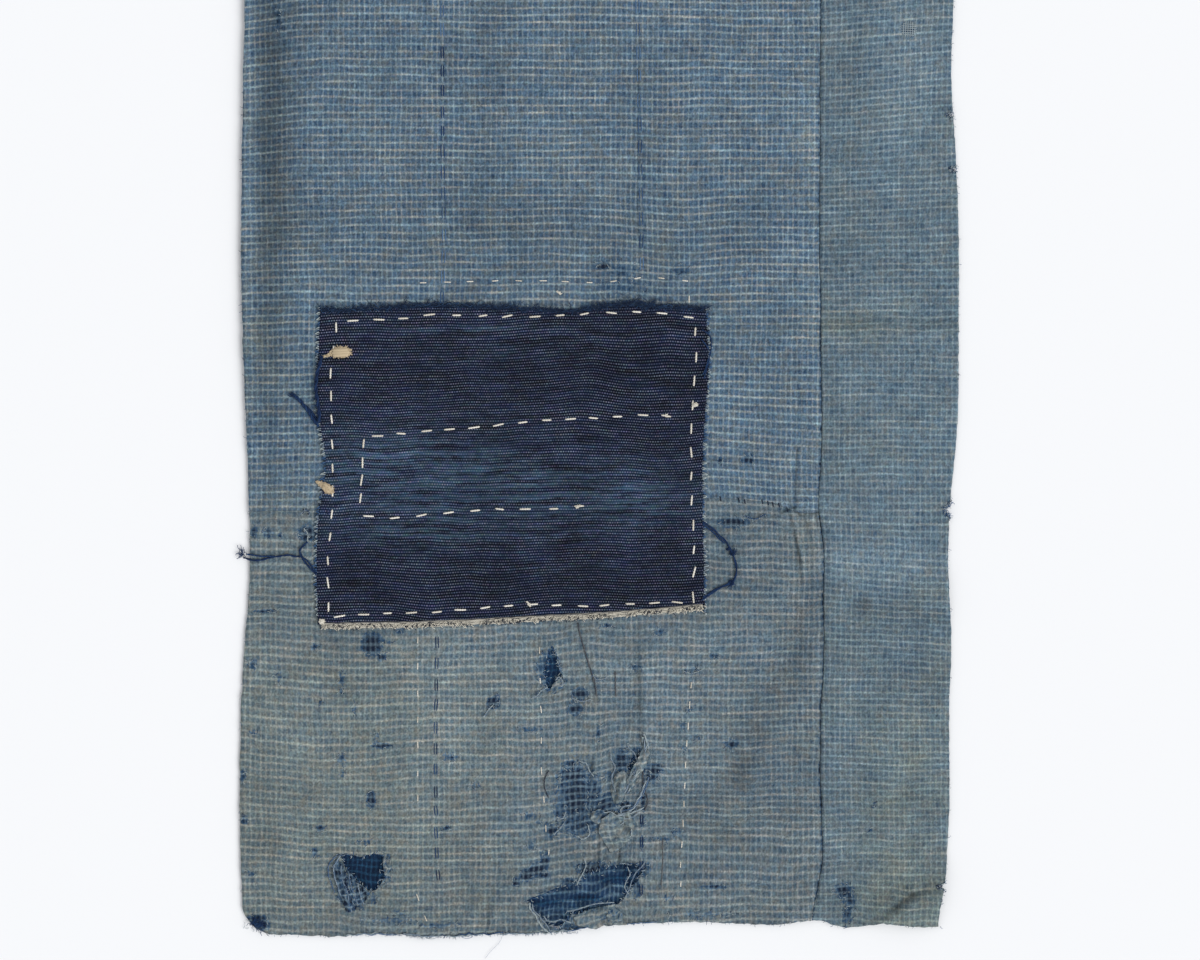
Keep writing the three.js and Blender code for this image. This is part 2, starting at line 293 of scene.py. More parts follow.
def clothPiece(name, x, y, top, thick, keep, weave, paint):
    # upper face, lower face and rim of one sheet, its weave as a UV map and its wear and painted shade as
    # attributes
    count = x.size
    index = np.arange(count).reshape(x.shape)
    near, east = index[:-1, :-1], index[:-1, 1:]
    far, west = index[1:, 1:], index[1:, :-1]
    cells = np.stack([near, east, far, west], -1)[keep]
    padded = np.pad(keep, 1)
    faces = [cells, cells[:, ::-1] + count]
    sides = [(near, east, padded[:-2, 1:-1]), (east, far, padded[1:-1, 2:]),
             (far, west, padded[2:, 1:-1]), (west, near, padded[1:-1, :-2])]
    for start, end, neighbour in sides:
        outer = keep & ~neighbour
        rim = np.stack([end[outer], start[outer], start[outer] + count, end[outer] + count], -1)
        faces.append(rim)
    faces = np.concatenate(faces)
    points = np.stack([np.tile(x.ravel(), 2), np.tile(y.ravel(), 2),
                       np.concatenate([top.ravel(), (top - thick).ravel()])], -1)
    used, compact = np.unique(faces, return_inverse=True)
    faces = compact.reshape(faces.shape)
    mesh = bpy.data.meshes.new(name)
    mesh.from_pydata((points[used] * mm).tolist(), [], faces.tolist())
    weaveMap = mesh.uv_layers.new(name="weave")
    across = np.tile(weave[0].ravel(), 2)[used][faces.ravel()]
    along = np.tile(weave[1].ravel(), 2)[used][faces.ravel()]
    weaveMap.data.foreach_set("uv", np.stack([across, along], -1).ravel().astype(np.float32))
    for word, values in paint.items():
        layer = mesh.attributes.new(word, "FLOAT", "POINT")
        layer.data.foreach_set("value", np.tile(values.ravel(), 2)[used].astype(np.float32))
    piece = bpy.data.objects.new(name, mesh)
    bpy.context.collection.objects.link(piece)
    bpy.ops.object.select_all(action="DESELECT")
    piece.select_set(True)
    bpy.context.view_layer.objects.active = piece
    bpy.ops.object.shade_smooth_by_angle(angle=math.radians(55))
    return piece


def hexColor(code):                  # an sRGB hex value turned to linear
    parts = [int(code[i:i + 2], 16) / 255 for i in (1, 3, 5)]
    return [p / 12.92 if p <= 0.04045 else ((p + 0.055) / 1.055) ** 2.4 for p in parts] + [1.0]


def newMaterial(name):               # a material, and the function that adds a node to it
    material = bpy.data.materials.new(name)
    material.use_nodes = True
    tree = material.node_tree
    tree.nodes.clear()

    def add(kind, inputs=None, out=0, **settings):
        node = tree.nodes.new("ShaderNode" + kind)
        for setting, value in settings.items():
            setattr(node, setting, value)
        for socket, value in (inputs or {}).items():
            if isinstance(value, bpy.types.NodeSocket):
                tree.links.new(value, node.inputs[socket])
            else:
                isColor = isinstance(value, str)
                node.inputs[socket].default_value = hexColor(value) if isColor else value
        return node.outputs[out] if len(node.outputs) else None

    return material, add


def finishMaterial(add, color, bump=None, roughness=0.92, sheen=0.04):
    surface = {"Base Color": color, "Roughness": roughness, "Specular IOR Level": 0.12,
               "Sheen Weight": sheen, "Sheen Roughness": 0.6}
    if bump is not None:
        surface["Normal"] = bump
    add("OutputMaterial", {"Surface": add("BsdfPrincipled", surface)})


# Drift of the woven lines: place across, reach, drop of the lines to the right, height, reach in height
drifts = [
    (-198, 20, -8.0, 260, 190), (-118, 50, 2.5, 200, 120), (28, 18, 3.6, 50, 50), (66, 22, -3.0, 60, 60),
    (98, 40, 6.0, -70, 55), (-188, 26, 6.5, -230, 90), (-50, 90, -9.0, -240, 110), (-8, 16, -5.0, -296, 22),
    (55, 20, 2.0, -190, 30), (92, 30, -3.0, -190, 30),
]
stripDrifts = [(172, 60, -13.0, 240, 170), (172, 60, 8.0, -150, 45), (196, 20, 4.0, -330, 40),
               (172, 40, 3.0, -235, 40)]


def weaveOf(x, y, rows, seed):       # place of each point in the cloth as it was woven, in mm
    along = y + 1.3 * softNoise(x * 0.7, y, 60, seed) + 0.4 * softNoise(x, y, 22, seed + 1)
    lowWave = 1.4 * softNoise(x, y * 0.6, 32, seed + 4) + 0.5 * softNoise(x, y * 0.5, 13, seed + 7)
    along = along + lowWave * smoothStep(-(y + 90) / 60)
    for place, reach, drop, height, reachY in rows:
        side = 1 + np.tanh((x - place) / reach)
        along = along + drop * 0.5 * side * np.exp(-((y - height) / reachY) ** 2)
    across = x + 1.0 * softNoise(x, y, 85, seed + 2) + 0.25 * softNoise(x, y, 19, seed + 3)
    for midX, midY, reachX, reachY, lift, size in crumples.values():
        near = lift * np.exp(-((x - midX) / reachX) ** 2 - ((y - midY) / reachY) ** 2)
        across = across + 0.7 * near * softNoise(x, y, 9, seed + 5)
        along = along + 1.1 * near * softNoise(x, y, 11, seed + 6)
    return across, along


def spotPaint(x, y, spots):          # largest of a table of soft spots: place, half sizes, strength
    value = np.zeros(np.shape(x))
    for spotX, spotY, halfX, halfY, strength in spots:
        away = np.hypot((x - spotX) / halfX, (y - spotY) / halfY)
        value = np.maximum(value, strength * np.clip(1.2 - away * 0.85, 0, 1))
    return value


def shadePaint(x, y, rows):          # sum of wide soft patches of tone
    value = np.zeros(np.shape(x))
    for middleX, middleY, reachX, reachY, amount in rows:
        value = value + amount * np.exp(-((x - middleX) / reachX) ** 2 - ((y - middleY) / reachY) ** 2)
    return value


# Worn places where the pale surface has gone and deep blue shows: place, half sizes, strength
wornSpots = [
    (-193, 191, 2, 7, 0.9), (-200, -163.5, 7, 1.5, 1.1), (-207.5, -116, 3, 3.5, 1.1),
    (-199, -117, 4, 2.6, 1.1), (-191.5, -118, 1.5, 2.5, 0.9), (-175, -117, 6.5, 5.5, 1.35),
    (14, 31, 16, 5, 0.68), (-137, -183.5, 6.4, 7.6, 1.5), (-131, -191, 3, 3, 1.1),
    (-128, -182, 5, 1.2, 0.9), (-119.5, -175, 3, 2.2, 1), (-171, -184.5, 2.6, 2.5, 1),
    (-208, -195.5, 3, 3.5, 1), (-192.5, -202, 2.4, 7, 0.65), (-155, -204, 2.2, 6, 0.85),
    (-155, -212, 1.6, 2, 0.9), (-167.5, -218, 1.6, 1.8, 1), (-147, -222.5, 1.6, 4, 0.65),
    (-131.5, -244, 6.5, 1.8, 1.45), (-134, -238.5, 2.2, 2.2, 0.8), (-155, -252, 3.5, 4, 0.8),
    (-154, -261, 2, 3, 0.7), (-137, -276.5, 3.2, 5.4, 1.35), (-92, -293.5, 4, 1.4, 0.95),
    (-207.5, -236, 3.5, 1.5, 0.9), (-90.5, -251, 6, 3, 0.75), (-42.5, -234.5, 8, 1.8, 0.8),
    (-75, -268, 4, 2, 0.7), (-41.5, -286, 6, 2.5, 0.75), (-37, -290, 2.4, 1.4, 1),
    (21.5, -197, 4.5, 1.8, 0.9), (-1, -237, 2.6, 6, 0.7), (-12, -213, 5.5, 4, 1.3), (-15, -222, 5, 4, 1.25),
    (-64, -218.5, 4.0, 4.2, 1.6), (1.5, 43.5, 5, 2.6, 1.5), (12, 40, 16, 7, 0.62), (49, 41, 6, 4, 0.8),
    (89, -73, 5, 3.6, 1.1), (72, -73, 2.4, 2.4, 0.95), (80, -110.5, 9.5, 3, 1.6), (68, -190, 3.4, 2, 0.85),
    (55, -198, 4, 1.4, 1), (50, -232, 1.8, 2.6, 1), (50.5, -246, 1.8, 2.6, 1), (59.5, -240, 2.6, 1.8, 0.8),
    (79, -243, 5, 2.8, 1.15), (146, -331, 6, 5, 1.2), (150, -337, 5, 6, 0.95), (148, -345.5, 4, 6, 0.9),
    (164, -279.5, 1.7, 1.6, 1.1), (162.5, -294, 1.4, 1.4, 1.1), (68, -329, 9, 1.5, 1.1),
    (-206, -350.5, 8, 4.6, 1.8), (-214, -262, 2.6, 4, 0.9), (-213, -289, 2.6, 3.4, 0.9),
    (-209, -321, 3, 2.2, 0.9), (-167.5, -294, 3.4, 2.4, 0.9), (-171, -308, 2.8, 3.2, 0.95),
    (-31, -199, 7.5, 13, 1.0), (-26, -206, 6, 4, 1.0), (-126, -349, 20, 2, 0.7), (-96, -352, 14, 2, 0.75),
    (60, -345, 24, 2, 0.6), (185, 185, 4.5, 3.8, 0.9), (13, -253.5, 5, 9, 1.1), (22.8, -251.8, 4, 6.5, 1.5),
    (33, -258.4, 4.6, 4, 1.3), (-16.8, -256, 5, 4, 1.2), (-29, -295, 4.5, 5, 1.2), (-13, -290, 14, 6, 0.85),
    (15, -280.6, 6, 3.6, 1.2), (25.8, -276, 1.7, 8, 1.2), (25.2, -290.8, 1.2, 3, 1.2),
    (25.2, -302, 1.1, 5, 1.2), (-14, -276, 14, 24, 1.05), (-16, -262, 10, 4.5, 1.3),
    (-12, -291, 14, 9, 0.95), (3, -279, 13, 8, 0.95), (-3, -272, 5, 12, 0.85), (6, -288, 9, 4, 0.75),
    (6, -262, 4, 3, 0.8), (31, -262, 5, 4.5, 1.25), (24, -257, 5, 4, 1.45), (-24, -284, 5, 6, 0.8),
    (-41.4, -304, 3, 2.6, 0.8), (-33, -310.6, 3.6, 3.6, 0.9), (-50.4, -326, 3, 2.8, 1.35),
    (-43.8, -322, 5.4, 4, 1.45), (-38, -318.6, 5.4, 4.4, 1.5), (-33, -313.6, 3.4, 4.4, 1.25),
    (-33, -321.6, 4, 2.4, 1.3), (-24, -350, 9, 6, 1.0), (-3, -318, 12, 4.5, 1.5), (-18, -326, 6, 3, 1.2),
    (-17, -354, 5, 3, 1.1), (26, -318, 5, 5, 1.0), (22, -330, 4, 7, 0.85), (-152, -331, 6, 10, 1.0),
    (-146, -338, 6, 5, 0.95), (-158, -318, 2, 8, 0.75), (-128, -320, 4, 8, 0.8), (-136, -336, 3, 5, 0.7),
    (-140, -302, 6, 2, 0.7), (38, -300, 8, 2, 0.6), (46, -296, 4, 2.4, 0.8), (54, -222, 3, 2.4, 0.7),
    (-120, -345, 5, 2, 0.7), (8, -342, 3, 2, 0.7), (40, -335, 5, 2, 0.6), (36, -176, 4, 2.6, 0.8),
    (4, -172, 4, 1.8, 0.8), (-151, -163, 4, 2, 0.6),
]
# Wide patches of tone, partly painted shade and light along the soft folds and the rolled hem and partly
# uneven fading and dirt, and of warm grey: place, reach, amount
shadeAndTonePatches = [
    (-196, 150, 12, 150, -0.42), (-211, 150, 5, 150, 0.3), (-196, -20, 8, 80, -0.10),
    (-72, 130, 26, 100, -0.06), (-144, 120, 24, 110, 0.04), (-20, 130, 20, 110, 0.05),
    (30, 60, 12, 110, -0.06), (114, 140, 14, 120, 0.07), (80, 100, 40, 150, 0.04),
    (150, 160, 10, 80, -0.06), (150, 40, 80, 60, 0.03), (188, 168, 24, 46, 0.2), (120, 134, 12, 26, 0.2),
    (-50, 64, 66, 26, -0.14), (93, 62, 14, 26, -0.18), (60, 70, 24, 16, -0.1), (-173, 65, 30, 26, -0.1),
    (-170, 190, 22, 20, -0.12), (66, 134, 15, 22, 0.12), (-38, 188, 16, 30, 0.1), (172, -4, 20, 12, -0.1),
    (146, 70, 12, 90, -0.1), (172, -134, 46, 11, 0.2), (172, -192, 46, 22, -0.12),
    (-90, -215, 14, 50, 0.14), (-165, -215, 22, 50, 0.04), (-144, -192, 16, 28, -0.12),
    (-204, -290, 12, 45, -0.1), (55, -225, 36, 40, 0.08), (118, -80, 10, 26, 0.14),
    (66, -138, 15, 18, -0.22), (-6, -318, 16, 10, -0.12), (-146, -334, 12, 10, -0.14),
    (165, 7, 60, 4, -0.10), (170, -128, 40, 12, 0.08), (180, -166, 46, 12, -0.07),
    (150, -230, 10, 60, 0.05), (84, -220, 18, 46, -0.07), (180, -280, 10, 40, -0.05),
    (200, -346, 20, 10, 0.04), (-170, -300, 60, 60, 0.03), (25, -217, 2.6, 24, -0.1),
    (-60, -200, 60, 60, 0.06), (95, -275, 36, 90, -0.08), (-5, -352, 120, 5, -0.06),
    (100, -60, 40, 30, 0.06), (92, -112, 34, 14, -0.1), (-190, -124, 20, 14, 0.06),
    (124, 120, 8, 110, 0.06), (-130, -270, 60, 70, 0.05), (0, -300, 60, 50, 0.04),
    (-160, -160, 30, 30, -0.05), (132, 6, 50, 4, -0.06), (62, -182, 46, 22, 0.11),
    (-86, -188, 26, 22, 0.08), (14, -212, 15, 22, 0.12), (-92, -254, 14, 14, 0.12),
    (-140, -318, 26, 22, -0.11), (-16, -308, 20, 18, -0.12), (-120, -342, 80, 10, -0.08),
    (186, -276, 24, 14, -0.14), (120, 50, 16, 14, 0.1), (-40, -235, 50, 60, 0.05),
    (-205, 206, 16, 10, 0.06), (50, -238, 60, 14, 0.04), (-160, -206, 16, 20, -0.1),
    (-186, -236, 16, 20, 0.1), (100, -186, 14, 20, 0.1), (-104, -250, 20, 24, 0.05),
    (-62, -320, 24, 14, -0.1), (-88, 82, 22, 30, -0.08), (-204, -66, 10, 20, 0.08),
]
warmPatches = [
    (-150, -270, 105, 120, 1.0), (20, -260, 90, 110, 0.1), (60, -345, 110, 30, 0.35),
    (-205, -280, 20, 90, 0.5), (174, -290, 30, 60, 0.4), (92, -116, 30, 22, -0.35), (126, 120, 9, 90, 0.35),
    (132, 6, 46, 7, 0.4), (121, -120, 8, 14, 0.5), (-205, 60, 12, 150, 0.3), (192, -340, 36, 24, 0.9),
    (170, 10, 50, 12, 0.25), (190, -260, 36, 90, 0.4), (120, -120, 14, 30, 0.3), (-190, -120, 30, 50, 0.3),
    (-190, 40, 20, 60, 0.15), (-40, 60, 120, 20, 0.1),
]
# Lines of shade or light, along folds and creases: from, to, reach to each side, amount
shadeLines = [
    (144, 12, 216, 9, 3.5, -0.16), (144, 4, 216, 1, 4, 0.06), (138, -152, 157, -159.5, 5.5, -0.2),
    (157, -159.5, 210, -168.5, 7, -0.24), (139, -147, 160, -153, 1.4, -0.1),
    (138, -129, 212, -146, 8, 0.16), (130, -168, 84, -262, 9, -0.2), (84, -262, 54, -280, 8, -0.14),
    (118, -160, 66, -250, 9, 0.07), (168, -240, 168, -322, 4, -0.12), (176, -240, 176, -322, 6, 0.05),
    (204, -327, 189, -330.6, 1.3, 0.2), (189, -330.6, 178, -337, 1.2, 0.2),
    (178, -337, 162, -347.6, 1.2, 0.2), (200, -330, 187, -333.6, 2.6, -0.26),
    (187, -333.6, 178, -340.6, 3, -0.3), (178, -340.6, 166, -350, 3, -0.3), (22.6, 203, 25, 46, 1.6, -0.1),
    (23.5, -176, 24.6, -246, 2.8, -0.2), (27.6, -193, 28, -246, 1.0, 0.2),
    (-4.8, -254, -5.2, -270, 1.6, -0.28), (9, -255, 9.5, -268, 1.3, -0.25),
    (121, -34, 118.6, -100, 1.0, -0.36), (36.8, -300, 36.8, -330, 0.8, -0.3),
    (117, -106, 123, -140, 1.8, 0.1), (4, -300, 3, -316, 1.3, -0.3), (12.5, -302, 13, -317, 1.3, -0.32),
    (8.5, -300, 8, -316, 1.5, 0.12), (-4.6, -255, -4.8, -290, 1.4, -0.35),
    (28.5, -262, 27.5, -283, 1.2, -0.35), (-204, 200, -200, -110, 6, -0.14), (150, 203, 150, 113, 8, -0.05),
    (-72, 203, -72, 30, 16, -0.03), (-13.2, -170, -9.3, -186, 0.9, -0.3),
    (-9.3, -186, -4.7, -201, 0.9, -0.34), (-4.7, -201, -2, -215, 0.9, -0.3),
    (9.2, -200, 9.3, -215, 0.7, -0.22), (-16, -171, -11, -190, 2.5, 0.06),
    (114, -106.5, 120, -133, 1.1, -0.45), (118.2, -66, 116.8, -101, 0.7, -0.42),
    (120, -44, 119.5, -97, 0.9, 0.25), (109, -104.6, 116, -101.8, 0.9, -0.6),
    (116, -102, 120, -106, 0.8, -0.6), (120, -106, 129, -104.8, 0.9, -0.6),
    (112, -99.8, 128, -99.2, 1.1, 0.34), (112, -107.4, 128, -109, 1.1, 0.24),
    (134.5, -112, 137, -140, 2.4, -0.22), (116.6, -108, 122, -132, 1.2, 0.2),
    (119, -133, 121.6, -150, 1.2, -0.25), (124, -108, 127, -124, 1.6, -0.2),
    (-1, -306, -2, -320, 1.4, -0.28), (11.4, -306, 11.2, -318, 1.2, -0.26),
    (-66, -338, -67, -356, 1.2, -0.25), (80, -331, 62, -333, 1.1, -0.25),
]
# Painted shade and light along the seams: shade and a dark blue line at the long seam's join, light on its
# turned edge, shadow on the strip beside it, and shade along the cross seam
seamShade = {"reach": 1.25, "depth": 0.2, "lowDepth": 0.15, "blue": 0.85, "edgeReach": 1.6,
             "edgePlace": 3.4, "edgeLift": 0.14, "stripDepth": 0.25, "stripReach": 7, "stripTone": 0.12,
             "crossReach": 0.9, "crossDepth": 0.12}


def wearAndShadeOf(x, y):                    # attributes that the cloth materials read
    # tone: uneven fading and dirt, with painted shade and light along the folds, creases and seams
    tone = (1 + shadePaint(x, y, shadeAndTonePatches) + 0.06 * softNoise(x, y, 38, 31)
            + 0.055 * softNoise(x, y, 12, 32))
    tone = tone + 0.05 * softNoise(x * 0.7, y, 17, 37) * smoothStep((-90 - y) / 60)
    for fromX, fromY, toX, toY, reach, amount in shadeLines:
        along, left, length = segmentPlace(x, y, (fromX, fromY, toX, toY))
        past = np.maximum(0, np.abs(along - 0.5) - 0.5) * length
        uneven = 0.75 + 0.45 * softNoise(x, y, 7, 34)
        tone = tone + amount * uneven * np.exp(-(left / reach) ** 2 - (past / (1.5 * reach + 1)) ** 2)
    away = seamPlaceX(y) - x          # the long seam: painted shade along the join, painted light on the raised turned edge, and painted shadow on the strip beside it
    uneven = np.clip(0.75 + 0.75 * softNoise(x, y, 4, 35), 0, 1.4)
    low = smoothStep((60 - y) / 160)
    onMain = away > 0
    join = onMain * uneven * np.exp(-(away / seamShade["reach"]) ** 2)
    depth = (seamShade["depth"] + seamShade["lowDepth"] * low) * uneven
    tone = tone - onMain * depth * np.exp(-(away / seamShade["reach"]) ** 2)
    edge = (away - seamShade["edgePlace"]) / seamShade["edgeReach"]
    tone = tone + onMain * seamShade["edgeLift"] * np.exp(-edge ** 2)
    tone = tone - ~onMain * seamShade["stripDepth"] * uneven * np.exp(-(away / 1.2) ** 2)
    onStrip = ~onMain * seamShade["stripTone"] * (1 - 0.6 * low)
    tone = tone - onStrip * np.exp(-(away / seamShade["stripReach"]) ** 2)
    # the cross seam: an uneven line of painted shade along it
    cross = (y - crossPlaceY(x)) / seamShade["crossReach"]
    uneven = np.clip(0.5 + 0.9 * softNoise(x, y, 7, 36), 0, 1.3)
    tone = tone - onMain * seamShade["crossDepth"] * uneven * np.exp(-cross ** 2)
    warm = np.clip(shadePaint(x, y, warmPatches) + 0.12 * softNoise(x, y, 30, 33), 0, 1)
    # worn spots, and the long seam's join painted dark blue, partly its dark seam line and partly painted
    # shade
    worn = np.maximum(spotPaint(x, y, wornSpots), seamShade["blue"] * join)
    return {"worn": worn, "tone": tone, "warm": warm}


# Torn holes in the lower panel: middle and corners
tornHoles = {
    "shieldHole": ((-143.5, -320), [(-12, 11.2), (-0.5, 9.4), (8, 11), (16.3, 10.2), (14, 4), (15.7, -2),
                                    (10.3, -9.8), (6.1, -12.4), (-1.7, -5.6), (-9.5, 2.2)]),
    "bottomTear": ((-9.5, -339), [(-34.5, 2.5), (-18, 9), (-4, 14.5), (10, 22), (29, 25), (36, 20.5),
                                  (30, 11), (22, 1), (8, -5), (-8, -7), (-16, -15.5), (-24, -12)]),
    "narrowTear": ((-29.5, -199), [(-1.7, 12), (1.3, 15), (3.7, 9), (4.9, 1.2), (7.3, -4.2), (4.3, -10.8),
                                   (0.1, -13.2), (-2.9, -7.8), (-3.5, 0)]),
    "clusterGap": ((20.5, -256), [(-4, -1), (-1.5, 4), (2, 6), (5.5, 3), (3, -1), (0.5, -6), (-3, -5)]),
    "clusterCut": ((3, -285), [(-5, -0.5), (0, 2.4), (6, 1.6), (9.5, 3.4), (8, 0), (2, -2), (-3, -2.6)]),
}
holeOutlines = {
    name: raggedOutline(corners, middle, 1.4, 0.45, 40 + i)
    for i, (name, (middle, corners)) in enumerate(tornHoles.items())
}


def checkCloth(name, look):
    # Plain-woven cotton, yarn-dyed in a small check and faded: matte, with uneven pale lines
    material, add = newMaterial(name)
    place = add("UVMap", uv_map="weave")

    def noiseAt(scale, low=0.0, high=1.0, detail=2.0, out=0):    # noise stretched along the yarns, in 1/mm
        at = add("VectorMath", {0: place, 1: (scale[0], scale[1], 1), 2: (look["seed"], 0, scale[0] * 7)},
                 operation="MULTIPLY_ADD")
        noise = add("TexNoise", {"Vector": at, "Scale": 1.0, "Detail": detail, "Roughness": 0.6}, out=out)
        if out:
            return add("VectorMath", {0: noise, 1: (0.5, 0.5, 0.5)}, operation="SUBTRACT")
        return add("MapRange", {"Value": noise, "From Min": 0.3, "From Max": 0.7, "To Min": low,
                                "To Max": high}, clamp=False)

    # The yarns wander a little from their straight lines
    place = add("VectorMath", {0: noiseAt((0.014, 0.035), out=1), 1: look["wander"], 2: place},
                operation="MULTIPLY_ADD")
    parts = add("SeparateXYZ", {0: place}).node.outputs
    blot = noiseAt((0.07, 0.07), -1, 1, 3.0)
    lineOf, cells = {}, []
    for word, axis, slubScale in (("warp", 0, (0.7, 0.09)), ("weft", 1, (0.075, 0.6))):
        pitch, width = look[word + "Pitch"], look[word + "Line"]
        count = add("Math", {0: parts[axis], 1: 1 / pitch}, operation="MULTIPLY")
        cells.append(add("Math", {0: count}, operation="FLOOR"))
        away = add("Math", {0: count, 1: 0.5}, operation="PINGPONG")
        line = add("MapRange", {"Value": away, "From Min": width * 1.05 / pitch, "From Max": 0.0},
                   interpolation_type="SMOOTHSTEP")
        number = add("Math", {0: count}, operation="ROUND")
        number = add("Math", {0: number, 1: look["seed"]}, operation="ADD")
        chance = add("TexWhiteNoise", {"W": number}, noise_dimensions="1D")
        strength = add("MapRange", {"Value": chance, "To Min": look[word + "Faint"],
                                    "To Max": look[word + "Strong"]})
        slub = add("Math", {0: noiseAt(slubScale, 0.35, 1.35, 3.0), 1: 1.25}, operation="MINIMUM")
        line = add("Math", {0: line, 1: strength}, operation="MULTIPLY")
        lineOf[word] = add("Math", {0: line, 1: slub}, operation="MULTIPLY")
    lines = add("Math", {0: lineOf["warp"], 1: lineOf["weft"]}, operation="ADD")
    fading = add("Math", {0: blot, 1: 0.2, 2: 1.0}, operation="MULTIPLY_ADD")
    lines = add("Math", {0: lines, 1: fading}, operation="MULTIPLY")
    # each pale yarn is broken up where it dives under the dark ones
    crossings = noiseAt((0.85, 0.8), 0.62, 1.3, 1.0)
    lines = add("Math", {0: lines, 1: crossings}, operation="MULTIPLY", use_clamp=True)
    # The ground between the lines changes from yarn to yarn and from square to square
    cell = add("CombineXYZ", {0: cells[0], 1: cells[1]})
    cell = add("TexWhiteNoise", {"Vector": cell}, noise_dimensions="2D")
    yarns = add("Math", {0: noiseAt((1.2, 0.2), 0, 0.5), 1: noiseAt((0.16, 1.1), 0, 0.5)}, operation="ADD")
    squares = add("Math", {0: noiseAt((0.34, 0.26), -0.05, 0.75, 1.0), 1: yarns}, operation="ADD")
    groundMix = add("Math", {0: cell, 1: 0.45, 2: squares}, operation="MULTIPLY_ADD")
    groundMix = add("Math", {0: groundMix, 1: 0.48}, operation="MULTIPLY", use_clamp=True)
    ground = add("Mix", {0: groundMix, 6: look["groundDark"], 7: look["groundPale"]}, out=2,
                 data_type="RGBA")
    brown = add("Math", {0: noiseAt((0.22, 0.18), -0.7, 1.3), 1: look["brownShare"]}, operation="MULTIPLY",
                use_clamp=True)
    ground = add("Mix", {0: brown, 6: ground, 7: look["groundBrown"]}, out=2, data_type="RGBA")
    beige = add("Math", {0: noiseAt((0.07, 0.3), -0.15, 1.4), 1: look["beigeShare"]}, operation="MULTIPLY",
                use_clamp=True)
    pale = add("Mix", {0: beige, 6: look["lineBlue"], 7: look["lineBeige"]}, out=2, data_type="RGBA")
    color = add("Mix", {0: lines, 6: ground, 7: pale}, out=2, data_type="RGBA")
    warm = add("Attribute", attribute_name="warm", out=2)
    warm = add("Math", {0: noiseAt((0.045, 0.06), -0.25, 0.25), 1: warm}, operation="ADD", use_clamp=True)
    tinted = add("VectorMath", {0: color, 1: look["warmTint"], 2: look["warmLift"]},
                 operation="MULTIPLY_ADD")
    color = add("Mix", {0: warm, 6: color, 7: tinted}, out=2, data_type="RGBA")
    # Specks of single yarns, in tone and a little in hue
    grain = noiseAt((0.95, 0.8), -1, 1, 1.0)
    # the tone attribute brings uneven fading and the painted shade and light of folds, creases and seams
    tone = add("Attribute", attribute_name="tone", out=2)
    grainTone = add("Math", {0: grain, 1: look["grain"], 2: 1.0}, operation="MULTIPLY_ADD")
    blotTone = add("Math", {0: blot, 1: 0.07, 2: 1.0}, operation="MULTIPLY_ADD")
    tone = add("Math", {0: tone, 1: grainTone}, operation="MULTIPLY")
    tone = add("Math", {0: tone, 1: blotTone}, operation="MULTIPLY")
    color = add("VectorMath", {0: color, "Scale": tone}, operation="SCALE")
    hue = add("VectorMath", {0: noiseAt((0.7, 0.6), detail=1.0, out=1), 1: look["hueGrain"], 2: (1, 1, 1)},
              operation="MULTIPLY_ADD")
    color = add("VectorMath", {0: color, 1: hue}, operation="MULTIPLY")
    # Worn places: a soft painted mask, broken up along the yarns so that its border frays
    worn = add("Attribute", attribute_name="worn", out=2)
    fray = add("Math", {0: yarns, 1: 0.5}, operation="SUBTRACT")
    fray = add("Math", {0: fray, 1: 0.4, 2: worn}, operation="MULTIPLY_ADD")
    fray = add("Math", {0: grain, 1: 0.14, 2: fray}, operation="MULTIPLY_ADD")
    fray = add("Math", {0: noiseAt((0.42, 0.36), -1, 1, 4.0), 1: 0.34, 2: fray}, operation="MULTIPLY_ADD")
    wornMask = add("MapRange", {"Value": fray, "From Min": 0.39, "From Max": 0.62})
    coreMask = add("MapRange", {"Value": fray, "From Min": 0.66, "From Max": 1.0})
    deep = add("Mix", {0: coreMask, 6: look["wornBlue"], 7: look["wornCore"]}, out=2, data_type="RGBA")
    faint = add("Math", {0: lines, 1: look["wornLineShare"]}, operation="MULTIPLY")
    deep = add("Mix", {0: faint, 6: deep, 7: look["wornLine"]}, out=2, data_type="RGBA")
    deep = add("VectorMath", {0: deep, "Scale": tone}, operation="SCALE")
    color = add("Mix", {0: wornMask, 6: color, 7: deep}, out=2, data_type="RGBA")
    height = add("Math", {0: grain, 1: 0.5, 2: lines}, operation="MULTIPLY_ADD")
    height = add("Math", {0: wornMask, 1: -1.2, 2: height}, operation="MULTIPLY_ADD")
    bump = add("Bump", {"Height": height, "Strength": 0.5, "Distance": 0.0003})
    finishMaterial(add, color, bump)
    return material


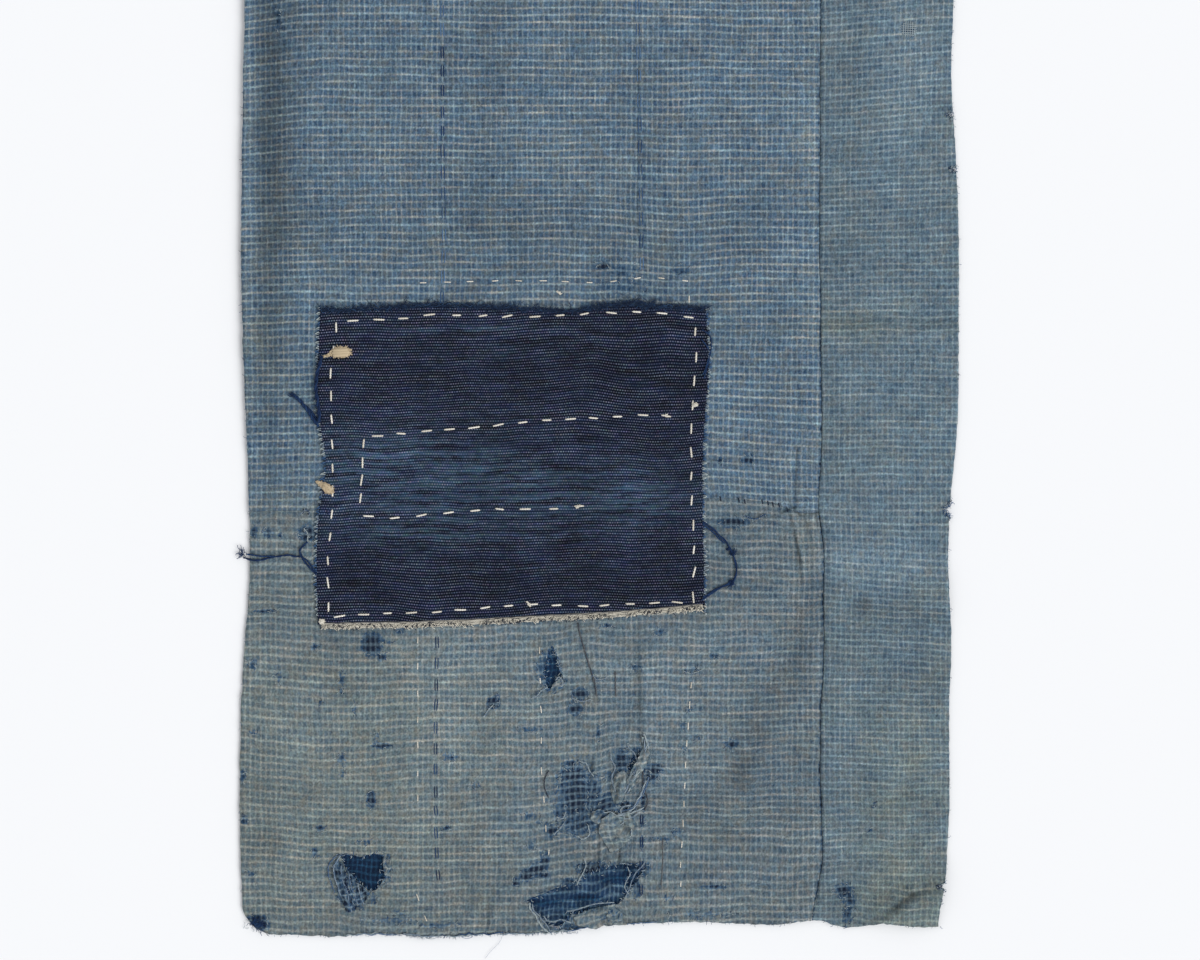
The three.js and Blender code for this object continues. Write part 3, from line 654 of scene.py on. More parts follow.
checkLook = {
    "warpPitch": 3.12, "weftPitch": 4.38, "warpLine": 0.9, "weftLine": 1.12, "warpFaint": 0.28,
    "warpStrong": 0.46, "weftFaint": 0.5, "weftStrong": 0.74, "groundDark": "#1c3653",
    "groundPale": "#577186", "groundBrown": "#596164", "brownShare": 0.55, "lineBlue": "#88a1ab",
    "lineBeige": "#9b9e99", "beigeShare": 0.85, "wornBlue": "#2a4661", "wornCore": "#0f1c30",
    "wornLine": "#8299a6", "wornLineShare": 0.75, "warmTint": (1.03, 0.955, 0.85),
    "warmLift": (0.026, 0.03, 0.027), "wander": (2.4, 3.4, 0), "grain": 0.29,
    "hueGrain": (0.26, 0.16, 0.26), "seed": 0.0,
}
clothLooks = {
    "upper": dict(checkLook),
    "lower": dict(checkLook, weftPitch=4.5, weftLine=1.35, warpLine=1.05, groundDark="#243c54",
                  groundPale="#5d727e", groundBrown="#5e6364", brownShare=0.65, lineBlue="#8a9b9f",
                  lineBeige="#9b9c98", weftFaint=0.42, weftStrong=0.66, warpFaint=0.22, warpStrong=0.4,
                  hueGrain=(0.16, 0.12, 0.16), grain=0.27, warmTint=(1.03, 0.955, 0.84), seed=37.0),
    "strip": dict(checkLook, weftPitch=3.9, warpPitch=3.2, groundDark="#2a425a", groundPale="#627885",
                  groundBrown="#626a6e", weftStrong=0.62, weftFaint=0.38, warpFaint=0.26, warpStrong=0.42,
                  grain=0.25, beigeShare=0.6, warmTint=(1.06, 0.945, 0.78), hueGrain=(0.2, 0.15, 0.2),
                  seed=71.0),
    "lining": dict(checkLook, warpPitch=2.7, groundDark="#0b203a", groundPale="#1a3a5c",
                   groundBrown="#18304a", lineBlue="#5f8299", lineBeige="#6f8795", weftFaint=0.35,
                   weftStrong=0.65, warpStrong=0.4, wornBlue="#0f2745", wornCore="#0a1c34",
                   wornLine="#28516f", wornLineShare=1.0, hueGrain=(0.2, 0.15, 0.2), wander=(6.0, 9.0, 0),
                   seed=13.0),
}
materials = {name: checkCloth(name + "CheckCotton", look) for name, look in clothLooks.items()}
print("cloth materials made")


def placeCloth(piece, node, material):
    piece.data.materials.append(material)
    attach(piece, "root")
    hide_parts(node)


def allCells(x):                     # a sheet with all the cells of its grid
    return np.ones((x.shape[0] - 1, x.shape[1] - 1), bool)


def edgeSink(x, edges):              # how far the rim of a cloth rolls down, from its distance to each edge
    sink = np.zeros(np.shape(x))
    for away, depth in edges:
        sink = np.maximum(sink, depth * np.exp(-np.maximum(away, 0) / 0.7))
    return sink


# The backing cloth, flat under the front, wrinkled where the tears show it
lining = {"inset": 3, "step": 6.0, "thick": 0.5, "fineStep": 1.8, "wrinkle": 0.55}
darkLining = [(-143, -320, 20, 18, 1.3), (-34, -338.4, 12, 2.2, 1.2), (-10, -335.5, 14, 2.2, 1.2),
              (9, -324, 13, 3, 1.0), (-30, -199, 9, 14, 0.75), (-6, -345, 10, 1.6, 1.0),
              (-16, -262, 8, 3, 1.0), (17, -322, 3, 12, 1.1), (-20, -330, 6, 1.6, 0.9),
              (4, -270, 2, 14, 0.9), (-22, -350, 8, 1.4, 0.8)]
insetPlaces = spacedLine(leftX + lining["inset"], rightX - lining["inset"], lining["step"],
                         [(-143, 16, lining["fineStep"]), (-10, 40, lining["fineStep"])])
insetRows = spacedLine(bottomY + lining["inset"] + 3, topY - lining["inset"], lining["step"],
                       [(-312, 46, lining["fineStep"]), (-199, 14, lining["fineStep"])])
x, y = bentGrid(insetPlaces, insetRows, lambda y: leftPlaceX(y - 3) + lining["inset"],
                lambda y: rightX + curveThrough(rightEdge, y) - lining["inset"],
                lambda x: np.maximum(bottomPlaceY(x), bottomY - 3) + lining["inset"] + 1,
                lambda x: topPlaceY(x) - lining["inset"])
liningTop = foldHeight(x, y) + 0.75
ruffle = np.exp(-((y + 320) / 60) ** 4)
liningTop = liningTop + lining["wrinkle"] * ruffle * softNoise(x, y * 2.4, 11, 51)
liningTop = liningTop + lining["wrinkle"] * ruffle * softNoise(x * 1.4, y, 5, 53)
liningTop = np.clip(liningTop, lining["thick"] + 0.05, foldHeight(x, y) + 1.2)
wearAndShade = {"worn": spotPaint(x, y, darkLining), "tone": 1 + 0.3 * softNoise(x * 1.6, y * 1.2, 12, 52),
        "warm": np.zeros(x.shape)}
weave = weaveOf(x, y + 1.6 * softNoise(x, y, 12, 54), drifts, 60)
piece = clothPiece("liningCloth", x, y, liningTop, lining["thick"], allCells(x), weave, wearAndShade)
placeCloth(piece, "lining", materials["lining"])
print("lining made")

# The main panel above the cross seam
upper = {"step": 2.2, "seamGap": 0.15, "crossGap": 0.05}
seamEdge = cloth["seamX"] - upper["seamGap"]
columns = spacedLine(leftX, seamEdge, upper["step"], [(leftX, 3, 0.8), (22.5, 1.5, 0.5), (118.5, 4, 0.5),
                                                      (seamEdge, 2.5, 0.45)])
rows = spacedLine(cloth["crossSeamY"] + upper["seamGap"], topY, upper["step"],
                  [(cloth["crossSeamY"], 6, 0.7), (topY, 1, 0.8)])
x, y = bentGrid(columns, rows, leftPlaceX, lambda y: seamPlaceX(y) - upper["seamGap"],
                lambda x: crossPlaceY(x) + upper["crossGap"], topPlaceY)
sink = edgeSink(x, [(x - leftPlaceX(y), 0.6), (seamPlaceX(y) - x, 0.9), (topPlaceY(x) - y, 0.5)])
top = frontTop(x, y) - sink
piece = clothPiece("upperPanel", x, y, top, cloth["sheetThick"], allCells(x), weaveOf(x, y, drifts, 60),
                   wearAndShadeOf(x, y))
placeCloth(piece, "upper_panel", materials["upper"])
print("upper panel made")

# The main panel below the cross seam, with the torn holes
lower = {"step": 1.75, "curl": 0.6, "curlReach": 2.0}
columns = spacedLine(leftX, seamEdge, lower["step"], [(leftX, 3, 0.8), (2, 32, 0.98), (119, 6, 0.6),
                                                      (seamEdge, 2.5, 0.5)])
rows = spacedLine(bottomY, cloth["crossSeamY"] - upper["seamGap"], lower["step"],
                  [(bottomY, 3, 0.9), (-276, 24, 1.05), (cloth["crossSeamY"], 3, 0.8)])
x, y = bentGrid(columns, rows, leftPlaceX, lambda y: seamPlaceX(y) - upper["seamGap"], bottomPlaceY,
                lambda x: crossPlaceY(x) - upper["crossGap"])
keep = allCells(x)
middleX = (x[:-1, :-1] + x[1:, 1:]) / 2
middleY = (y[:-1, :-1] + y[1:, 1:]) / 2
curl = np.zeros(x.shape)
for name, outline in holeOutlines.items():
    inside = insideOutline(middleX, middleY, outline)
    keep &= ~inside
    touched = np.zeros(x.shape, bool)
    for rowShift in (0, 1):
        for columnShift in (0, 1):
            touched[rowShift:x.shape[0] - 1 + rowShift, columnShift:x.shape[1] - 1 + columnShift] |= inside
    distance, nearX, nearY = nearestOnOutline(x, y, outline)
    x = np.where(touched, nearX, x)
    y = np.where(touched, nearY, y)
    curl = np.maximum(curl, np.exp(-np.where(touched, 0, distance) / lower["curlReach"]))
sink = edgeSink(x, [(x - leftPlaceX(y), 0.6), (seamPlaceX(y) - x, 0.9), (y - bottomPlaceY(x), 0.5)])
top = frontTop(x, y) - sink + curl * (lower["curl"] * softNoise(x, y, 7, 55) + 0.25)
piece = clothPiece("lowerPanel", x, y, top, cloth["sheetThick"], keep, weaveOf(x, y, drifts, 60),
                   wearAndShadeOf(x, y))
placeCloth(piece, "lower_panel", materials["lower"])
print("lower panel made")

# The narrow strip along the right
strip = {"step": 2.0}
seamStart = cloth["seamX"] + upper["seamGap"]
columns = spacedLine(seamStart, rightX, strip["step"], [(seamStart, 1.5, 0.5), (rightX, 3, 0.8)])
rows = spacedLine(bottomY, topY, strip["step"], [(bottomY, 3, 0.9), (topY, 1, 0.8)]
                  + [(notch[0], notch[2], 0.7) for notch in notches])
x, y = bentGrid(columns, rows, lambda y: seamPlaceX(y) + upper["seamGap"], rightPlaceX, bottomPlaceY,
                topPlaceY)
sink = edgeSink(x, [(x - seamPlaceX(y), 0.55), (rightPlaceX(y) - x, 0.6), (y - bottomPlaceY(x), 0.5),
                       (topPlaceY(x) - y, 0.5)])
top = frontTop(x, y) - sink
piece = clothPiece("sideStrip", x, y, top, cloth["sheetThick"], allCells(x), weaveOf(x, y, stripDrifts, 80),
                   wearAndShadeOf(x, y))
placeCloth(piece, "side_strip", materials["strip"])
print("side strip made")

# The dark patch
patch = {
    "leftX": -168, "topY": 21, "width": 230, "length": 188, "step": 1.7, "thick": 0.8, "float": 0.25,
    "left": [(40, -1), (0, 0.6), (-40, 1.6), (-75, -3.4), (-110, 1.2), (-150, 1.8), (-180, 0)],
    "bottom": [(-180, 5), (-167, 4.6), (-110, 3.6), (-50, 0.8), (5, -2.2), (60, -6.6), (80, -8)],
    "right": [(-180, 1), (-140, 0.4), (-60, 0), (-20, 3), (30, 1)],
    "top": [(80, -6), (60, -4.4), (40, -3.2), (14, -1.8), (-14, -5), (-62, -3.4), (-94, -2.2), (-150, -4.8),
            (-180, -5)],
    "rowPitch": 1.66, "fleckPitch": 1.5,
}
patchRightX = patch["leftX"] + patch["width"]
patchBottomY = patch["topY"] - patch["length"]


# Rows of white running stitches on the patch: number, path from the first stitch to the last
patchRows = {
    "top": (14, [(-148, 10.4), (-119, 11.6), (-104, 14), (-70, 13.4), (-38, 12.8), (-7, 14.6), (25, 15.8),
                 (40, 14.6), (53, 12.5)]),
    "left": (13, [(-158, 6.4), (-161.4, -21.4), (-160.2, -74.2), (-160.2, -99.4), (-162, -122.2),
                  (-163.2, -135.4), (-162.6, -161)]),
    "bottom": (15, [(-156, -166.6), (-131.4, -164.8), (-99.6, -164.2), (-66.6, -161.2), (-42, -159.4),
                    (-7.8, -160.6), (24, -158.8), (47, -158.2)]),
    "right": (12, [(57, 3.8), (57.6, -11.2), (56.4, -25.6), (54.6, -55), (54.6, -94), (55.8, -108.4),
                   (56.4, -139.6), (55.8, -155.2)]),
    "innerLeft": (4, [(-141.6, -62.8), (-143.4, -95.8)]),
    "innerUpper": (13, [(-133.2, -58.6), (-103.8, -55.6), (-70.2, -53.2), (-55.8, -51.4), (-30.6, -49),
                        (-2.4, -47.8), (27, -46), (39.6, -46.6)]),
    "innerLower": (9, [(-138.6, -106.6), (-124.2, -107.8), (-93.6, -104.8), (-63.6, -102.4),
                       (-29.4, -102.4), (-12.6, -100.6)]),
}


def rowDistance(x, y, rows):         # distance to the nearest row of stitches
    nearest = np.full(np.shape(x), 1e9)
    for count, path in rows.values():
        for (x1, y1), (x2, y2) in zip(path, path[1:]):
            along, left, length = segmentPlace(x, y, (x1, y1, x2, y2))
            past = np.maximum(0, np.abs(along - 0.5) - 0.5) * length
            nearest = np.minimum(nearest, np.hypot(past, left))
    return nearest


def patchTop(x, y):                  # height of the patch's upper face
    height = frontTop(x, y) + patch["float"] + patch["thick"]
    height = height - 0.3 * np.exp(-(rowDistance(x, y, patchRows) / 2.2) ** 2)
    return height + 0.2 * (1 + softNoise(x, y, 30, 71)) + 0.12 * softNoise(x, y, 9, 72)


patchSides = {
    "left": lambda y: patch["leftX"] - curveThrough(patch["left"], y) + 0.4 * softNoise(y, 0, 2.5, 73),
    "right": lambda y: patchRightX + curveThrough(patch["right"], y) + 0.4 * softNoise(y, 0, 2.5, 74),
    "bottom": lambda x: patchBottomY - curveThrough(patch["bottom"], x) + 0.2 * softNoise(x, 0, 3, 75),
    "top": lambda x: patch["topY"] + curveThrough(patch["top"], x) + 0.4 * softNoise(x, 0, 4, 76),
}
columns = spacedLine(patch["leftX"], patchRightX, patch["step"],
                     [(patch["leftX"], 2, 0.8), (patchRightX, 2, 0.8)])
rows = spacedLine(patchBottomY, patch["topY"], patch["step"],
                  [(patchBottomY, 2, 0.8), (patch["topY"], 2, 0.8)])
x, y = bentGrid(columns, rows, patchSides["left"], patchSides["right"], patchSides["bottom"],
                patchSides["top"])
sink = edgeSink(x, [(x - patchSides["left"](y), 0.5), (patchSides["right"](y) - x, 0.5),
                       (y - patchSides["bottom"](x), 0.5), (patchSides["top"](x) - y, 0.5)])
top = patchTop(x, y) - sink
streakAreas = [(-100, -80, 70, 26, 1.0), (-20, -92, 90, 16, 0.9), (-120, -116, 60, 10, 0.6),
               (30, -98, 50, 9, 0.5), (-40, -116, 70, 6, 0.45), (-84, 5.5, 50, 1.6, 0.9),
               (-50, -10, 60, 4, 0.3), (-138, -72, 32, 12, 0.75), (-20, -138, 90, 3, 0.3)]
# Areas of the patch made darker or lighter: place, reach, amount
darkAreas = [(-40, -20, 120, 22, -0.12), (-40, -146, 130, 14, -0.2), (40, -40, 40, 30, -0.1),
             (-126, -72, 36, 14, 0.26), (-152, -72, 10, 12, 0.16)]
# the faded streak bands, and the patch's tone: a soft diagonal painted shade of its folds, uneven tone and
# the areas above
bands = {"streak": np.clip(shadePaint(x, y, streakAreas) * (0.85 + 0.35 * softNoise(x, y, 30, 77)), 0, 1),
         "tone": 1 + 0.14 * softNoise(x + y * 0.6, y - x * 0.2, 27, 78) + 0.1 * softNoise(x, y, 11, 83)
         + shadePaint(x, y, darkAreas)}
rowWave = (2.8 * softNoise(x, y, 62, 80) + 1.0 * softNoise(x, y * 0.6, 24, 81)
           + 0.35 * softNoise(x, y * 0.5, 11, 82))
weave = (x + 0.5 * softNoise(x, y, 50, 79), y - 0.02 * x + rowWave)


def fleckedCloth(name, look):
    # Heavy plain cotton in near-black navy with rows of staggered pale flecks: matte and dense
    material, add = newMaterial(name)
    place = add("UVMap", uv_map="weave")
    parts = add("SeparateXYZ", {0: place}).node.outputs
    row = add("Math", {0: parts[1], 1: 1 / look["rowPitch"]}, operation="MULTIPLY")
    rowNumber = add("Math", {0: row}, operation="FLOOR")
    rowPart = add("Math", {0: row}, operation="FRACT")
    shift = add("Math", {0: rowNumber, 1: 0.5}, operation="MULTIPLY")
    along = add("Math", {0: parts[0], 1: 1 / look["fleckPitch"], 2: shift}, operation="MULTIPLY_ADD")
    fleckNumber = add("Math", {0: along}, operation="FLOOR")
    fleckPart = add("Math", {0: along}, operation="FRACT")
    middle = add("CombineXYZ", {0: fleckPart, 1: rowPart})
    away = add("VectorMath", {0: middle, 1: (0.5, 0.5, 0)}, operation="SUBTRACT")
    away = add("VectorMath", {0: away, 1: (2.5, 3.2, 0)}, operation="MULTIPLY")
    away = add("VectorMath", {0: away}, operation="LENGTH", out=1)
    fleck = add("MapRange", {"Value": away, "From Min": 1.05, "From Max": 0.4},
                interpolation_type="SMOOTHSTEP")
    which = add("CombineXYZ", {0: fleckNumber, 1: rowNumber})
    chance = add("TexWhiteNoise", {"Vector": which}, noise_dimensions="2D")
    chance = add("MapRange", {"Value": chance, "To Min": 0.45, "To Max": 1.0})
    fleck = add("Math", {0: fleck, 1: chance}, operation="MULTIPLY")

    def noiseAt(scale, low, high, detail=2.0):
        at = add("VectorMath", {0: place, 1: (scale[0], scale[1], 1)}, operation="MULTIPLY")
        noise = add("TexNoise", {"Vector": at, "Scale": 1.0, "Detail": detail})
        return add("MapRange", {"Value": noise, "From Min": 0.34, "From Max": 0.66, "To Min": low,
                                "To Max": high})

    # each row of yarn changes in tone along its own length
    own = add("CombineXYZ", {0: parts[0], 1: rowNumber})
    own = add("VectorMath", {0: own, 1: (0.09, 5.7, 1)}, operation="MULTIPLY")
    own = add("TexNoise", {"Vector": own, "Scale": 1.0, "Detail": 3.0, "Roughness": 0.6})
    own = add("MapRange", {"Value": own, "From Min": 0.3, "From Max": 0.7})
    fleckShare = add("Math", {0: own, 1: 0.6, 2: 0.45}, operation="MULTIPLY_ADD")
    fleckShare = add("Math", {0: fleckShare, 1: noiseAt((0.03, 0.12), 0.65, 1.1, 3.0)},
                     operation="MULTIPLY")
    fleck = add("Math", {0: fleck, 1: fleckShare}, operation="MULTIPLY")
    # Grooves between the rows: painted shade that darkens them, and a bump
    groove = add("Math", {0: row, 1: 0.5}, operation="PINGPONG")
    groove = add("MapRange", {"Value": groove, "From Min": 0.3, "From Max": 0.05, "To Max": look["groove"]},
                 interpolation_type="SMOOTHSTEP")
    # Faded bands, uneven from row to row, with thin dark rows left in them
    band = add("Attribute", attribute_name="streak", out=2)
    streak = add("Math", {0: noiseAt((0.02, 0.3), -0.15, 1.2, 3.0), 1: own}, operation="ADD")
    streak = add("MapRange", {"Value": streak, "From Min": 0.5, "From Max": 1.55, "To Max": 1.2})
    streak = add("Math", {0: streak, 1: band}, operation="MULTIPLY", use_clamp=True)
    navyShare = add("Math", {0: noiseAt((0.035, 0.16), -0.3, 1.2, 3.0), 1: own}, operation="ADD")
    navyShare = add("Math", {0: navyShare, 1: 0.55}, operation="MULTIPLY", use_clamp=True)
    navy = add("Mix", {0: navyShare, 6: look["ground"], 7: look["groundNavy"]}, out=2, data_type="RGBA")
    ground = add("Mix", {0: streak, 6: navy, 7: look["faded"]}, out=2, data_type="RGBA")
    color = add("Mix", {0: fleck, 6: ground, 7: look["fleck"]}, out=2, data_type="RGBA")
    # the tone attribute brings the patch's painted shade of its folds and its uneven tone
    tone = add("Attribute", attribute_name="tone", out=2)
    # painted shade in the grooves, weaker in the faded bands
    flat = add("Math", {0: streak, 1: -0.35, 2: 1.0}, operation="MULTIPLY_ADD")
    shadow = add("Math", {0: groove, 1: flat}, operation="MULTIPLY")
    shadow = add("Math", {0: 1.0, 1: shadow}, operation="SUBTRACT")
    rowTone = add("Math", {0: noiseAt((0.03, 0.24), 0.74, 1.26, 4.0), 1: shadow}, operation="MULTIPLY")
    tone = add("Math", {0: tone, 1: rowTone}, operation="MULTIPLY")
    color = add("VectorMath", {0: color, "Scale": tone}, operation="SCALE")
    # the dye turns from violet to green-blue from yarn to yarn
    at = add("VectorMath", {0: place, 1: (0.2, 0.45, 1)}, operation="MULTIPLY")
    hue = add("TexNoise", {"Vector": at, "Scale": 1.0, "Detail": 2.0, "Roughness": 0.7}, out=1)
    hue = add("VectorMath", {0: hue, 1: look["hueGrain"], 2: look["hueMiddle"]}, operation="MULTIPLY_ADD")
    color = add("VectorMath", {0: color, 1: hue}, operation="MULTIPLY")
    height = add("Math", {0: groove, 1: -1.5, 2: fleck}, operation="MULTIPLY_ADD")
    bump = add("Bump", {"Height": height, "Strength": 0.5, "Distance": 0.0003})
    finishMaterial(add, color, bump, roughness=0.9, sheen=0.0)
    return material


# groove: how dark the painted shade in the grooves between the rows is
fleckLook = {"ground": "#070d1e", "groundNavy": "#11203e", "faded": "#2e455b", "fleck": "#7c8292",
             "groove": 0.62, "hueGrain": (1.1, 0.8, 0.9), "hueMiddle": (0.45, 0.6, 0.55),
             "rowPitch": patch["rowPitch"], "fleckPitch": patch["fleckPitch"]}
materials["patch"] = fleckedCloth("fleckedNavyCotton", fleckLook)
piece = clothPiece("indigoPatch", x, y, top, patch["thick"], allCells(x), weave, bands)
placeCloth(piece, "indigo_patch", materials["patch"])
print("patch made")


# Threads and fibres: thin tubes along paths given as threads x points x (x, y, z)
def tubePiece(name, material, sides, groups):
    points, quads, ends, shades, total = [], [], [], [], 0
    for paths, radius, shade in groups:
        paths = np.asarray(paths, float)
        threads, steps = paths.shape[:2]
        radius = np.broadcast_to(np.asarray(radius, float), (threads, steps))
        shade = np.broadcast_to(np.asarray(shade, float).reshape(-1, 1, 1), (threads, steps, sides))
        ahead = np.gradient(paths, axis=1)
        ahead /= np.linalg.norm(ahead, axis=2, keepdims=True) + 1e-9
        side = np.cross(ahead, (0.03, 0.02, 1.0))
        side /= np.linalg.norm(side, axis=2, keepdims=True) + 1e-9
        up = np.cross(side, ahead)
        turn = np.arange(sides) * 2 * math.pi / sides
        ring = side[:, :, None] * np.cos(turn)[:, None] + up[:, :, None] * np.sin(turn)[:, None]
        points.append((paths[:, :, None] + ring * radius[:, :, None, None]).reshape(-1, 3))
        index = total + np.arange(threads * steps * sides).reshape(threads, steps, sides)
        beside = np.roll(index, -1, axis=2)
        corners = np.stack([index[:, :-1], index[:, 1:], beside[:, 1:], beside[:, :-1]], -1)
        quads.append(corners.reshape(-1, 4))
        ends += index[:, 0].tolist() + index[:, -1, ::-1].tolist()
        shades.append(shade.ravel())
        total += threads * steps * sides
    mesh = bpy.data.meshes.new(name)
    mesh.from_pydata((np.concatenate(points) * mm).tolist(), [], np.concatenate(quads).tolist() + ends)
    layer = mesh.attributes.new("shade", "FLOAT", "POINT")
    layer.data.foreach_set("value", np.concatenate(shades).astype(np.float32))
    mesh.shade_smooth()
    mesh.materials.append(materials[material])
    piece = bpy.data.objects.new(name, mesh)
    bpy.context.collection.objects.link(piece)
    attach(piece, "root")


def threadMaterial(name, dark, middle, pale):
    # Loose cotton fibre: matte, its tone read from the thread, from dark through middle to pale
    material, add = newMaterial(name)
    shade = add("Attribute", attribute_name="shade", out=2)
    lower = add("MapRange", {"Value": shade, "From Max": 0.5})
    upperPart = add("MapRange", {"Value": shade, "From Min": 0.5})
    color = add("Mix", {0: lower, 6: dark, 7: middle}, out=2, data_type="RGBA")
    color = add("Mix", {0: upperPart, 6: color, 7: pale}, out=2, data_type="RGBA")
    finishMaterial(add, color, roughness=0.85)
    return material


materials["white"] = threadMaterial("whiteSewingCotton", "#a9a294", "#cfc9bb", "#e9e5da")
materials["indigo"] = threadMaterial("indigoSewingCotton", "#0e1f3e", "#213d64", "#56769a")
materials["fibre"] = threadMaterial("frayedCottonFibre", "#12203a", "#3a5c84", "#a9b4b4")
materials["tan"] = threadMaterial("tanCottonFluff", "#978770", "#b9a88b", "#cfbfa2")
materials["selvedge"] = threadMaterial("paleSelvedgeFibre", "#17233a", "#9d9b93", "#d6d0c1")


def onPatch(x, y):
    inX = (x > patchSides["left"](y)) & (x < patchSides["right"](y))
    return inX & (y > patchSides["bottom"](x)) & (y < patchSides["top"](x))


def surfaceTop(x, y):
    return np.where(onPatch(x, y), patchTop(x, y), frontTop(x, y))


def alongPath(path, count, jitter, chance):      # evenly spread places and headings along a path
    path = np.array(path, float)
    lengths = np.hypot(*np.diff(path, axis=0).T)
    total = np.concatenate([[0], np.cumsum(lengths)])
    at = np.linspace(0, total[-1], count) if count > 1 else np.array([total[-1] / 2])
    at = np.clip(at + chance.uniform(-jitter, jitter, count), 0, total[-1])
    x, y = np.interp(at, total, path[:, 0]), np.interp(at, total, path[:, 1])
    near = np.interp(at + 3, total, path[:, 0]) - np.interp(at - 3, total, path[:, 0])
    far = np.interp(at + 3, total, path[:, 1]) - np.interp(at - 3, total, path[:, 1])
    return x, y, np.arctan2(far, near)


def stitchPaths(x, y, heading, length, rise, spread, twist):    # two plies of one visible stitch each
    part = np.linspace(0, 1, 11)
    along = (part - 0.5) * length[:, None]
    middleX = x[:, None] + along * np.cos(heading)[:, None]
    middleY = y[:, None] + along * np.sin(heading)[:, None]
    arch = np.sin(part * math.pi) ** 0.35
    height = surfaceTop(middleX, middleY) - 0.5 + (rise + 0.5) * arch
    plies = []
    for ply in (0, 1):
        phase = ply * math.pi + (twist * along if twist else np.zeros(along.shape))
        shift = spread * np.cos(phase) * (0.5 + 0.5 * arch)
        plies.append(np.stack([middleX - shift * np.sin(heading)[:, None],
                               middleY + shift * np.cos(heading)[:, None],
                               height + (0.5 * spread * np.sin(phase) if twist else 0)], -1))
    return np.concatenate(plies)


def sewRows(rows, length, radius, spread, twist, seed, rise, tilt, shade):
    chance = np.random.RandomState(seed)
    groups = []
    for count, path in rows.values():
        x, y, heading = alongPath(path, count, 0.9, chance)
        heading = heading + chance.normal(0, tilt, count)
        lengths = chance.uniform(length[0], length[1], count)
        paths = stitchPaths(x, y, heading, lengths, rise, spread, twist)
        taper = radius * np.array([0.75, 0.95, 1, 1, 1, 1, 1, 1, 1, 0.95, 0.75])
        tone = np.tile(chance.uniform(shade[0], shade[1], count), 2)
        groups.append((paths, taper, tone))
    return groups


# Kinds of stitches: length, radius, distance and twist of the plies, height over the cloth, lean and tone
stitchKinds = {
    "patch": {"length": (5.4, 7.4), "radius": 0.36, "spread": 0.26, "twist": 2.1, "seed": 101, "rise": 0.3,
              "tilt": 0.09, "shade": (0.55, 1.0)},
    "body": {"length": (3.6, 5.2), "radius": 0.24, "spread": 0.17, "twist": 2.6, "seed": 102, "rise": 0.2,
             "tilt": 0.05, "shade": (0.35, 0.9)},
    "indigo": {"length": (6.6, 8.2), "radius": 0.36, "spread": 0.7, "twist": 0, "seed": 103, "rise": 0.2,
               "tilt": 0.03, "shade": (0.0, 0.6)},
    "outlined": {"length": (6.4, 8.6), "radius": 0.28, "spread": 0.82, "twist": 0, "seed": 109,
                 "rise": 0.16, "tilt": 0.05, "shade": (0.0, 0.6)},
    "faded": {"length": (7.6, 10.0), "radius": 0.29, "spread": 0.95, "twist": 0, "seed": 104, "rise": 0.2,
              "tilt": 0.03, "shade": (0.5, 1.15)},
}
# White running stitches on the patch
tubePiece("patchStitches", "white", 6, sewRows(patchRows, **stitchKinds["patch"]))

# Thinner stitches on the body of the cloth, going on from the patch: number, path
bodyRows = {
    "above": (12, [(-106.2, 33.2), (-61.2, 34.4), (-32.4, 34.4), (-3, 33.2), (12, 34.4), (28, 36.8),
                   (40.8, 35.6), (51, 34.4)]),
    "aboveEnd": (1, [(53.4, 26), (53.4, 21)]),
    "columnLeft": (7, [(-109.2, -181), (-109.2, -275.8)]),
    "columnLeftLow": (2, [(-109.2, -335), (-104.4, -347.8)]),
    "columnMiddle": (8, [(-37.4, -169), (-36.3, -184), (-36, -199), (-35.2, -228), (-35.2, -243.5),
                         (-35.4, -256), (-34.2, -268), (-32.4, -294.4)]),
    "columnMiddleLow": (1, [(-30.4, -305), (-30.8, -310)]),
    "columnRight": (11, [(54.6, -208), (53.6, -221), (52.6, -236), (51.4, -248.6), (51, -263), (49.8, -290),
                         (49, -304), (48.2, -316), (48.4, -327)]),
}
tubePiece("bodyStitches", "white", 5, sewRows(bodyRows, **stitchKinds["body"]))

# Dark double stitches down the cloth
indigoRows = {
    "upper": (5, [(-94.4, 171), (-94.2, 124)]),
    "lowRight": (4, [(25, -288), (24.6, -330)]),
}
fadedRows = {
    "upperTop": (2, [(-94.6, 196), (-94.5, 184)]),
    "upperLow": (8, [(-94.2, 112), (-93.4, 60), (-94.6, 24)]),
    "upperMiddle": (12, [(22.4, 199), (23.4, 150), (24.4, 90), (25, 44)]),
}
outlinedRows = {"lower": (12, [(-97.6, -182), (-98.6, -240), (-98.2, -300), (-97, -322)])}
doubleStitches = (sewRows(indigoRows, **stitchKinds["indigo"])
                  + sewRows(outlinedRows, **stitchKinds["outlined"])
                  + sewRows(fadedRows, **stitchKinds["faded"]))
tubePiece("indigoStitches", "indigo", 4, doubleStitches)
print("stitches made")


def looseFibres(x, y, heading, length, curl, lift, seed, steps=5, drop=0.0, over=surfaceTop):
    # short curved fibres, each rooted a little inside the cloth and wandering over it
    chance = np.random.RandomState(seed)
    count = len(x)
    part = np.linspace(0, 1, steps)
    bend = (chance.normal(0, curl, (count, 1)) * part
            + chance.normal(0, curl * 0.7, (count, 1)) * np.sin(part * 5))
    turn = np.asarray(heading).reshape(-1, 1) + bend
    stepLength = np.asarray(length).reshape(-1, 1) / (steps - 1)
    pathX = (np.asarray(x)[:, None] + np.cumsum(np.cos(turn) * stepLength, 1)
             - np.cos(turn[:, :1]) * stepLength)
    pathY = (np.asarray(y)[:, None] + np.cumsum(np.sin(turn) * stepLength, 1)
             - np.sin(turn[:, :1]) * stepLength)
    base = over(pathX, pathY)
    hang = chance.uniform(0.2, 1.0, (count, 1)) * lift * np.sin(part * math.pi * 0.8)
    return np.stack([pathX, pathY, base - drop * (1 - part) + hang + 0.1], -1)


